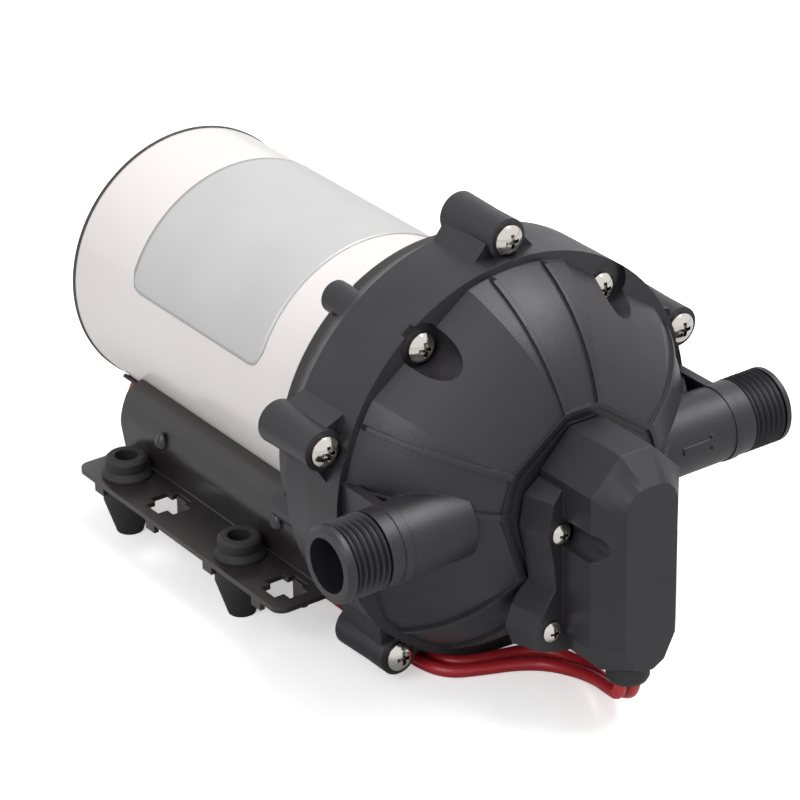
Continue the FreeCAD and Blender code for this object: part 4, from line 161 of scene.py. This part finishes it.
def surface(name, light, dark, gloss, grain, edge=0.3, drift=14.0, stretch=(1, 1, 1), worn=None,
            **fixed):
    """A finish with two near colours, a range of roughness, a grain and soft edges.

    light and dark are mixed by soft clouds drift millimetres across. gloss is the lowest and highest
    roughness. grain is its size and its depth in millimetres, and stretch draws it out along an axis, as a
    brush does. edge is the radius that the light sees on a sharp edge, and worn is the colour that shows
    where an edge is rubbed: where the rounded side turns away from the true one, and more where the grain
    is high.
    """
    material, tree, shader = start(name, **fixed)
    size, depth = grain
    place = add(tree, "ShaderNodeTexCoord").outputs["Object"]
    clouds = add(tree, "ShaderNodeTexNoise",
                 {"Vector": place, "Scale": 1 / (drift * MM), "Detail": CLOUD_DETAIL})
    cloudy = {VALUE: clouds.outputs["Fac"], FROM_LOW: CLOUD_LOW, FROM_HIGH: CLOUD_HIGH}
    drawn = add(tree, "ShaderNodeMapping", {"Vector": place, "Scale": stretch})
    grit = add(tree, "ShaderNodeTexNoise",
               {"Vector": drawn.outputs[0], "Scale": 1 / (size * MM), "Detail": GRIT_DETAIL})
    spread = add(tree, "ShaderNodeMapRange", cloudy)
    rough = add(tree, "ShaderNodeMapRange", cloudy | {TO_LOW: gloss[0], TO_HIGH: gloss[1]})
    colour = add(tree, "ShaderNodeMix",
                 {FACTOR: spread.outputs[0], FIRST: linear(light), SECOND: linear(dark)}, data_type="RGBA")
    soft = add(tree, "ShaderNodeBevel", {"Radius": edge * MM}, samples=ROUNDING_SAMPLES)
    bump = add(tree, "ShaderNodeBump",
               {"Height": grit.outputs["Fac"], "Distance": depth * MM, "Normal": soft.outputs[0]})
    if worn:
        true_side = add(tree, "ShaderNodeNewGeometry").outputs["Normal"]
        turned = add(tree, "ShaderNodeVectorMath", {0: soft.outputs[0], 1: true_side},
                     operation="DOT_PRODUCT")
        rubbed = add(tree, "ShaderNodeMapRange",
                     {VALUE: turned.outputs["Value"], FROM_LOW: WEAR_STARTS, FROM_HIGH: WEAR_FULL,
                      TO_LOW: 0, TO_HIGH: WEAR_STRENGTH})
        patchy = add(tree, "ShaderNodeMath", {0: rubbed.outputs[0], 1: grit.outputs["Fac"]},
                     operation="MULTIPLY", use_clamp=True)
        colour = add(tree, "ShaderNodeMix",
                     {FACTOR: patchy.outputs[0], FIRST: colour.outputs[MIXED], SECOND: linear(worn)},
                     data_type="RGBA")
    plug(tree, shader, Base_Color=colour.outputs[MIXED], Roughness=rough.outputs[0],
         Normal=bump.outputs[0])
    return material


print("recipe ready: clouds, grain and soft edges")

# %% [markdown]
# ## Black moulded plastic
#
# The head is glass-filled nylon from a textured mould: a black that is really a very dark, slightly
# violet grey, with a broad soft shine and an even fine grain. The switch cover is the same family of
# plastic from a smoother tool. A picture of the texture could be laid on, but it would show seams on the
# dome, so the noise of the recipe does it. The grain is about half a millimetre here, a little coarser
# than the real one, so that it still shows.
#
# The plastics inside are plainer: cream acetal for the valves, grey nylon for the drive, brown phenolic
# for the brush holder, and near-black polyester with a red button in the switch.

# %% Head, switch cover and the plastics inside
finishes = {
    "housing_plastic": surface("glass_filled_nylon", "#222025", "#1c1b1f", (0.37, 0.45), (0.5, 0.05),
                               edge=0.3, Specular_IOR_Level=0.5),
    "switch_plastic": surface("smooth_nylon", "#252328", "#1f1e22", (0.37, 0.45), (0.6, 0.03),
                              edge=0.5, Specular_IOR_Level=0.4),
    "valve_plastic": surface("acetal_natural", "#e4e0d6", "#d8d3c6", (0.35, 0.45), (0.8, 0.02)),
    "drive_plastic": surface("glass_filled_nylon_grey", "#8d8f90", "#808283", (0.45, 0.55), (0.5, 0.04)),
    "holder_plastic": surface("phenolic_brown", "#4a3327", "#3d2a20", (0.5, 0.6), (0.4, 0.04)),
    "switch_inner_plastic": surface("moulded_polyester", "#232428", "#1d1e21", (0.4, 0.5), (0.5, 0.03)),
    "button_plastic": surface("button_acetal_red", "#a5231f", "#93201c", (0.35, 0.45), (0.6, 0.02)),
}
print(len(finishes), "plastics")

# %% [markdown]
# ## Paint, steel and other metals
#
# The motor can is deep-drawn steel in white enamel: a clean, slightly warm white with a clear shine and
# the faint orange peel of sprayed paint. The base is pressed steel dipped in black, worn brown-grey along
# its edges. Such wear could be painted by hand, but the shader finds the edges by itself, where the
# rounded side turns away from the true one.
#
# Inside, the ground steel of the bearings is the brightest, spring wire is a little duller, and the cast
# zinc of the cam is dull and even. The grain is drawn out along the laminations of the core and along
# the copper wires.

# %% Painted and bare metals
finishes |= {
    "can_enamel": surface("white_enamel_on_steel", "#e9e4e2", "#e4dedc", (0.22, 0.30), (3.0, 0.015),
                          edge=0.5, drift=60, Coat_Weight=0.25, Coat_Roughness=0.12),
    "base_steel": surface("black_dipped_steel", "#2a2727", "#211f1f", (0.26, 0.38), (0.9, 0.03),
                          edge=0.35, drift=22, worn="#4c443f", Coat_Weight=0.2, Coat_Roughness=0.2),
    "dark_steel": surface("blackened_steel", "#242221", "#1b1a1a", (0.35, 0.5), (0.7, 0.04),
                          edge=0.35, worn="#8a8078"),
    "bearing_steel": surface("ground_bearing_steel", "#b9babb", "#a8a9ab", (0.16, 0.26), (0.3, 0.006),
                             Metallic=1.0),
    "spring_steel": surface("spring_wire_steel", "#a6a7a8", "#8f9092", (0.25, 0.35), (0.3, 0.01),
                            Metallic=1.0),
    "cam_metal": surface("die_cast_zinc", "#9a9c9e", "#888a8c", (0.35, 0.5), (0.6, 0.03), Metallic=1.0),
    "core_steel": surface("stacked_electrical_steel", "#6f7072", "#5b5c5e", (0.35, 0.5), (0.5, 0.05),
                          stretch=(0.05, 1, 0.05), Metallic=1.0),
    "terminal_metal": surface("tinned_brass", "#c9c2ac", "#b8af96", (0.25, 0.35), (0.4, 0.01), Metallic=1.0),
    "copper": surface("enamelled_copper_wire", "#b5623a", "#9c4f2c", (0.25, 0.35), (0.5, 0.10),
                      stretch=(1, 0.08, 1), Metallic=1.0),
    "wire_copper": surface("bare_copper_strand", "#c8774d", "#b3663f", (0.28, 0.4), (0.35, 0.08),
                           stretch=(0.1, 1, 1), Metallic=1.0),
}
print(len(finishes), "finishes so far")

# %% [markdown]
# The screws are nickel plated, so they mirror the room. Ambient occlusion tells how much light reaches a
# spot, so it paints a brown shade into the bottom of every cross at once, where painting them would take
# one screw after another.

# %% Nickel screws with painted brown shade in their recesses
RECESS_REACH, RECESS_SAMPLES, SCREW_EDGE = 1.2, 8, 0.12
# The recess colour is painted shade: dark brown where ambient occlusion is below the first limit, nickel
# above the second.
SHADED_BELOW, LIT_ABOVE = 0.3, 0.8
RECESS_SHADE, NICKEL, SCREW_GLOSS = "#3d3128", "#d6d1cb", (0.10, 0.22)
SMUDGE_WIDTH, SMUDGE_DEPTH, SMUDGE_DETAIL = 10 / 9, 0.01, 4.0


def nickel_screws():
    """Plated steel: bright in the open, with painted brown shade where little light gets in, as in a cross.
    """
    material, tree, shader = start("nickel_plated_steel", Metallic=1.0)
    place = add(tree, "ShaderNodeTexCoord").outputs["Object"]
    open_sky = add(tree, "ShaderNodeAmbientOcclusion", {"Distance": RECESS_REACH * MM},
                   samples=RECESS_SAMPLES)
    smudge = add(tree, "ShaderNodeTexNoise",
                 {"Vector": place, "Scale": 1 / (SMUDGE_WIDTH * MM), "Detail": SMUDGE_DETAIL})
    unshaded = add(tree, "ShaderNodeMapRange",
                {VALUE: open_sky.outputs["AO"], FROM_LOW: SHADED_BELOW, FROM_HIGH: LIT_ABOVE})
    # Painted shade: the colour goes from dark brown to nickel as more light reaches the spot.
    colour = add(tree, "ShaderNodeMix",
                 {FACTOR: unshaded.outputs[0], FIRST: linear(RECESS_SHADE), SECOND: linear(NICKEL)},
                 data_type="RGBA")
    rough = add(tree, "ShaderNodeMapRange",
                {VALUE: smudge.outputs["Fac"], FROM_LOW: CLOUD_LOW, FROM_HIGH: CLOUD_HIGH,
                 TO_LOW: SCREW_GLOSS[0], TO_HIGH: SCREW_GLOSS[1]})
    soft = add(tree, "ShaderNodeBevel", {"Radius": SCREW_EDGE * MM}, samples=ROUNDING_SAMPLES)
    bump = add(tree, "ShaderNodeBump",
               {"Height": smudge.outputs["Fac"], "Distance": SMUDGE_DEPTH * MM, "Normal": soft.outputs[0]})
    plug(tree, shader, Base_Color=colour.outputs[MIXED], Roughness=rough.outputs[0],
         Normal=bump.outputs[0])
    return material


finishes["screw_steel"] = nickel_screws()
print("screws:", finishes["screw_steel"].name)

# %% [markdown]
# ## Rubber, foil, carbon and wire covering
#
# The feet are black rubber, almost without shine, and the seals are a smoother rubber. The label is satin
# aluminium foil, left bare: it is so matt that it reads as pale grey, so it is only slightly metallic.
# The magnets are dull grey ferrite and the brushes pressed carbon, darker with a faint gleam. The leads
# have soft red PVC over their copper: a strong red with a waxy shine.

# %% Soft and special materials
finishes |= {
    "foot_rubber": surface("black_rubber", "#201f20", "#181818", (0.62, 0.78), (0.5, 0.06), edge=0.5),
    "seal_rubber": surface("nitrile_rubber", "#232224", "#1c1b1d", (0.5, 0.65), (0.4, 0.03), edge=0.4),
    "label_foil": surface("satin_foil", "#c9c9c9", "#c1c1c1", (0.32, 0.42), (0.4, 0.01), drift=30,
                          stretch=(1, 0.1, 1), Metallic=0.15),
    "ferrite": surface("sintered_ferrite", "#37373a", "#2c2c2f", (0.55, 0.7), (0.5, 0.06)),
    "carbon": surface("pressed_carbon", "#2a2a2b", "#1f1f20", (0.4, 0.55), (0.3, 0.05)),
    "tie_wire": surface("covered_tie_wire", "#29282a", "#222123", (0.4, 0.5), (0.5, 0.03)),
    "wire_red": surface("red_pvc", "#bb2a32", "#a8242c", (0.30, 0.42), (0.9, 0.03), drift=20),
}
print(len(finishes), "finishes in all")

# %% [markdown]
# The frame's record says which finish each solid takes, so one loop dresses them all.

# %% Give every solid its finish
slots = {entry["node"]: entry["material_slot"] for entry in frame["record"]["subparts"]}
for name, piece in nodes.items():
    piece.data.materials.clear()
    piece.data.materials.append(finishes[slots[name]])
print("dressed", len(slots), "solids")

# %% [markdown]
# ## The leads
#
# Two soft red leads come down out of the rubber boot and run back under the head along the base. One ends
# at the motor. The other is the pump's supply: its spare length is wound into a flat coil beside the
# base, and its end is stripped. A lead is one smooth line through the air, so each is a single curve
# whose control points are the bends of its route, with a round section carried along it.

# %% Points of the two routes, in millimetres
MOTOR_ROUTE = [(-2.3, -138.3, 14.5), (-2.3, -138.3, 9.5), (-0.8, -131.5, 8.0), (1.6, -123.5, 5.8),
               (2.6, -113.8, 3.2), (-0.2, -105.0, 2), (-6.8, -99.8, 2), (-15.0, -96.5, 2), (-24.5, -92.0, 2),
               (-27.4, -81.5, 2), (-26.6, -64.8, 2), (-25.0, -38.8, 2), (-26.6, -8.8, 2), (-24.8, 17.2, 2),
               (-26.6, 34.2, 4.0), (-28.4, 48.2, 12.5), (-30.22, 59.3, 21.68), (-22.42, 59.3, 31.32)]
SUPPLY_ROUTE = [(2.3, -138.3, 14.5), (2.3, -138.3, 9.0), (4.0, -131.2, 4.8), (6.6, -122.0, 2.2),
                (7.6, -112.5, 2), (6.0, -102.5, 2), (0.0, -95.8, 2), (-9.5, -93.2, 2), (-19.5, -89.9, 2),
                (-22.5, -80.5, 2), (-21.3, -62.0, 2), (-11.0, -40.8, 2), (9.0, -25.8, 2), (34.0, -17.2, 2),
                (60.5, -12.65, 2)]
COIL_MIDDLES, COIL_RADII = ((86, 10), (86, 12.05)), (22.65, 20.6, 18.55, 16.5)
COIL_HEIGHT, COIL_START, COIL_STEP, STEPS_IN_HALF = 2.0, -90, 30, 6
COIL_END = (86, -4.45, 2)


def coil_points():
    """Half turns round two middles in turn, each half smaller than the last.

    A smooth curve passes inside its control points, so these stand out by one over the cosine of half a
    step.
    """
    steps = np.radians(COIL_START + COIL_STEP * (np.arange(STEPS_IN_HALF) + 0.5))
    halves = []
    for k, radius in enumerate(COIL_RADII):
        x, y = COIL_MIDDLES[k % 2]
        angle, reach = steps + math.pi * k, radius / math.cos(math.radians(COIL_STEP / 2))
        level = np.full(STEPS_IN_HALF, COIL_HEIGHT)
        halves.append(np.stack([x + reach * np.cos(angle), y + reach * np.sin(angle), level], 1))
    return np.concatenate(halves)


supply_points = np.concatenate([SUPPLY_ROUTE, coil_points(), [COIL_END]])
print("motor lead", len(MOTOR_ROUTE), "points, supply lead", len(supply_points), "points")

# %% One smooth curve with a round section
WIRE_RADIUS = 1.8
STEPS_ALONG, STEPS_ROUND = 10, 5


def lead(name, points):
    """A quadratic curve from end point to end point, with the lead's round section carried along it."""
    data = bpy.data.curves.new(name, "CURVE")
    data.dimensions = "3D"
    spline = data.splines.new("NURBS")
    spline.points.add(len(points) - 1)
    spline.points.foreach_set("co", np.column_stack([np.array(points) * MM, np.ones(len(points))]).ravel())
    spline.order_u, spline.use_endpoint_u = 3, True
    data.resolution_u, data.bevel_resolution = STEPS_ALONG, STEPS_ROUND
    data.bevel_depth, data.use_fill_caps = WIRE_RADIUS * MM, True
    data.materials.append(finishes["wire_red"])
    piece = bpy.data.objects.new(name, data)
    bpy.context.scene.collection.objects.link(piece)
    return piece


motor_cord = lead("motor_cord", MOTOR_ROUTE)
supply_cord = lead("supply_cord", supply_points)
print("leads drawn:", motor_cord.name, "and", supply_cord.name)

# %% [markdown]
# Each lead rides on the pump's body and takes the place of its plain solids.

# %% Put the leads on the pump's body in place of their solids
for cord, replaced in ((motor_cord, ["motor_lead"]), (supply_cord, ["supply_lead", "supply_lead_coil"])):
    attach(cord, "pump_body")
    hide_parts(*replaced)
print("leads laid")

# %% [markdown]
# ## Thin pieces as grids
#
# The label, the arrow and the hoods of the next steps are all thin. Each could be modelled by hand, but a
# formula keeps it true to the round part that it sits on: points are worked out in rows and columns, and
# every four neighbours make a face. Solidify then gives the sheet its wall, laid inwards so that the
# outside stays where the formula puts it.

# %% From a grid of points to a sheet with a wall
def grid_piece(name, grid, smooth=True, flip=False):
    """A mesh of four-sided faces over rows and columns of points in millimetres.

    A face joins the points (i, j), (i + 1, j), (i + 1, j + 1) and (i, j + 1). flip turns its order round,
    for a grid that would otherwise face inwards.
    """
    rows, columns = grid.shape[:2]
    first = (np.arange(rows - 1)[:, None] * columns + np.arange(columns - 1)).ravel()
    faces = np.stack([first, first + columns, first + columns + 1, first + 1], 1)
    if flip:
        faces = faces[:, ::-1]
    mesh = bpy.data.meshes.new(name)
    mesh.from_pydata((grid * MM).reshape(-1, 3), [], faces.tolist())
    mesh.polygons.foreach_set("use_smooth", np.full(len(faces), smooth))
    piece = bpy.data.objects.new(name, mesh)
    bpy.context.scene.collection.objects.link(piece)
    return piece


def give_wall(piece, wall):
    """Gives a sheet its wall, laid inwards from the drawn surface, in millimetres."""
    sheet = piece.modifiers.new("thickness", "SOLIDIFY")
    sheet.thickness, sheet.offset = wall * MM, -1


print("grid and wall helpers ready")

# %% [markdown]
# ## The label
#
# The real label is a thin sheet of foil with rounded corners, wrapped round the can. Its solid in the
# frame has square corners, so this piece takes its place. It is a grid bent round the can: the two sides
# of each row are pulled in near the ends by the round of the corner.

# %% A rounded sheet on a cylinder
AXIS_HEIGHT, CAN_RADIUS = 59.0, 39.32
LABEL_LIFT, LABEL_CORNER, LABEL_WALL = 0.2, 5.0, 0.15
LABEL_FROM, LABEL_TO = 16.0, 164.0


def round_label(name, radius, front, rear, rows=40, columns=72):
    """A sheet on a cylinder about the motor's axis, between the label's two angles in degrees.

    Along the can the rows go evenly from front to rear. Across, the half width is the full one less the
    sagitta of the corner circle: corner - sqrt(corner^2 - d^2), with d the depth into the corner's stretch.
    """
    along = np.linspace(front, rear, rows)
    into = np.clip(LABEL_CORNER - np.minimum(along - front, rear - along), 0, LABEL_CORNER)
    pulled = LABEL_CORNER - np.sqrt(LABEL_CORNER ** 2 - into ** 2)
    half = math.radians(LABEL_TO - LABEL_FROM) / 2 - pulled / radius
    angle = math.radians(LABEL_FROM + LABEL_TO) / 2 + half[:, None] * np.linspace(-1, 1, columns)[None, :]
    grid = np.stack([radius * np.cos(angle), np.repeat(along[:, None], columns, 1),
                     AXIS_HEIGHT + radius * np.sin(angle)], -1)
    return grid_piece(name, grid)


low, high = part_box("motor_label")
label = round_label("label_sheet", CAN_RADIUS + LABEL_LIFT, low.y / MM, high.y / MM)
give_wall(label, LABEL_WALL)
label.data.materials.append(finishes["label_foil"])
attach(label, "pump_body")
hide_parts("motor_label")
print("label from", round(low.y / MM, 1), "to", round(high.y / MM, 1), "mm along the can")

# %% [markdown]
# ## Small marks of the mould and the press
#
# The outlet carries a raised arrow that shows the way of the water. It is too thin to be a solid of its
# own, so it is a flat outline bent round the pipe and raised by a third of a millimetre.

# %% The arrow on the outlet
PORT_Y, PIPE_RADIUS = -107.9, 10.35
ARROW_MIDDLE, ARROW_RAISED, ARROW_SUNK, ARROW_WALL = 9.0, 0.35, 0.1, 0.4
ARROW = [(34.3, 6.5), (34.5, 6.5), (44.0, 6.5), (44.02, 14), (44.2, 14), (48.4, 0.8), (48.6, 0.3)]


def pipe_arrow(name, outline, slices=9):
    """An outline of stations along a pipe, bent round it and raised.

    outline is a list of (x, half height in degrees). Each station is a row of points on the circle
    y = Y - r cos a, z = Z + r sin a. Along the border r is just under the pipe's radius, so that the rim
    closes on the pipe, and inside it is the raised one.
    """
    x, half = np.array(outline).T
    angle = np.radians(ARROW_MIDDLE + half[:, None] * np.linspace(-1, 1, slices)[None, :])
    radius = np.full(angle.shape, PIPE_RADIUS + ARROW_RAISED)
    radius[:, [0, -1]] = radius[[0, -1], :] = PIPE_RADIUS - ARROW_SUNK
    grid = np.stack([np.repeat(x[:, None], slices, 1), PORT_Y - radius * np.cos(angle),
                     AXIS_HEIGHT + radius * np.sin(angle)], -1)
    return grid_piece(name, grid, smooth=False)


arrow = pipe_arrow("flow_arrow", ARROW)
give_wall(arrow, ARROW_WALL)
arrow.data.materials.append(finishes["housing_plastic"])
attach(arrow, "pump_body")
print("arrow from x =", ARROW[0][0], "to", ARROW[-1][0], "mm")

# %% [markdown]
# The press also pushes a small hood outwards over each round hole in the wings of the base. A hood is a
# quarter of an egg: open below, where the hole is, and against the sheet at its back.

# %% Hoods over the holes in the wings
WING_X, HOLE_PLACES, HOLE_HEIGHT = 41.3, (-38.0, 20.0), 28.4
HOOD_WALL = 0.4


def hood(name, x, y, z, side, half=2.4, out=2.1, tall=4.5, steps=14):
    """A quarter of an ellipsoid on a wing.

    Its points are x + side out sin a cos b, y + half cos a and z + tall sin a sin b.
    """
    a = np.linspace(0, math.pi, steps)[:, None] + np.zeros(steps)[None, :]
    b = np.linspace(0, math.pi / 2, steps)[None, :] + np.zeros(steps)[:, None]
    grid = np.stack([x + side * out * np.sin(a) * np.cos(b), y + half * np.cos(a),
                     z + tall * np.sin(a) * np.sin(b)], -1)
    piece = grid_piece(name, grid, flip=side > 0)
    give_wall(piece, HOOD_WALL)
    piece.data.materials.append(finishes["base_steel"])
    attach(piece, "pump_body")
    return piece


hoods = [hood("hood_%s_%d" % (word, k + 1), side * WING_X, y, HOLE_HEIGHT, side)
         for side, word in ((-1, "left"), (1, "right")) for k, y in enumerate(HOLE_PLACES)]
print("hoods:", [piece.name for piece in hoods])

# %% [markdown]
# ## The studio
#
# The photograph is a cut-out on white, so the floor is a plain white sweep that keeps only the pump's
# soft shadow. One large lamp overhead, a little to the right, gives the long soft shine over the head and
# the ports, and a second one on the left lights the side of the can. A picture of a real studio could
# light it too, but these two lamps and a pale room are enough. Mirrors such as the screws need to see
# that white room, so the world is white for the camera and for reflections, and dimmer as a light.

# %% Floor
FLOOR_REACH, FLOOR_GLOW = 3.0, 0.45
FLOOR_SHADE, FLOOR_WHITE = "#d8d8d8", "#ffffff"


def plain_floor():
    """A square floor at the height that the feet stand on, which glows a little for the camera alone."""
    mesh = bpy.data.meshes.new("studio_floor")
    corners = [(x * FLOOR_REACH, y * FLOOR_REACH, 0) for x, y in ((-1, -1), (1, -1), (1, 1), (-1, 1))]
    mesh.from_pydata(corners, [], [(0, 1, 2, 3)])
    piece = bpy.data.objects.new("studio_floor", mesh)
    bpy.context.scene.collection.objects.link(piece)
    material, tree, shader = start("white_sweep", Roughness=0.9, Specular_IOR_Level=0.0,
                                   Emission_Color=(1, 1, 1, 1))
    seen = add(tree, "ShaderNodeLightPath").outputs["Is Camera Ray"]
    colour = add(tree, "ShaderNodeMix",
                 {FACTOR: seen, FIRST: linear(FLOOR_SHADE), SECOND: linear(FLOOR_WHITE)}, data_type="RGBA")
    glow = add(tree, "ShaderNodeMath", {0: seen, 1: FLOOR_GLOW}, operation="MULTIPLY")
    plug(tree, shader, Base_Color=colour.outputs[MIXED], Emission_Strength=glow.outputs[0])
    mesh.materials.append(material)
    return piece


floor = plain_floor()
print("floor laid:", floor.name)

# %% Room
ROOM_LIGHT = 0.45


def white_room():
    """White to the eye and in reflections, and dimmer where it lights a surface."""
    world = bpy.data.worlds.new("white_room")
    bpy.context.scene.world = world
    world.use_nodes = True
    tree = world.node_tree
    shader = tree.nodes["Background"]
    path = add(tree, "ShaderNodeLightPath")
    seen = add(tree, "ShaderNodeMath",
               {0: path.outputs["Is Camera Ray"], 1: path.outputs["Is Glossy Ray"]}, operation="MAXIMUM")
    white = add(tree, "ShaderNodeMath", {0: seen.outputs[0], 1: path.outputs["Is Transmission Ray"]},
                operation="MAXIMUM")
    strength = add(tree, "ShaderNodeMapRange", {VALUE: white.outputs[0], TO_LOW: ROOM_LIGHT, TO_HIGH: 1.0})
    shader.inputs["Color"].default_value = (1, 1, 1, 1)
    plug(tree, shader, Strength=strength.outputs[0])


white_room()
print("room lit at", ROOM_LIGHT)


# %% Lamps
def lamp(name, place, size, power):
    """A square area lamp that looks at the pump."""
    data = bpy.data.lights.new(name, "AREA")
    data.shape, data.size, data.energy = "SQUARE", size, power
    piece = bpy.data.objects.new(name, data)
    aim = (TARGET - Vector(place)).to_track_quat("-Z", "Y")
    piece.matrix_world = Matrix.Translation(place) @ aim.to_matrix().to_4x4()
    bpy.context.scene.collection.objects.link(piece)


lamp("top_lamp", place=(0.55, -0.4, 1.55), size=1.2, power=23)
lamp("left_lamp", place=(-1.5, -0.6, 1.1), size=1.0, power=13)
bpy.context.scene.view_settings.view_transform = "Standard"
print("two lamps hung")
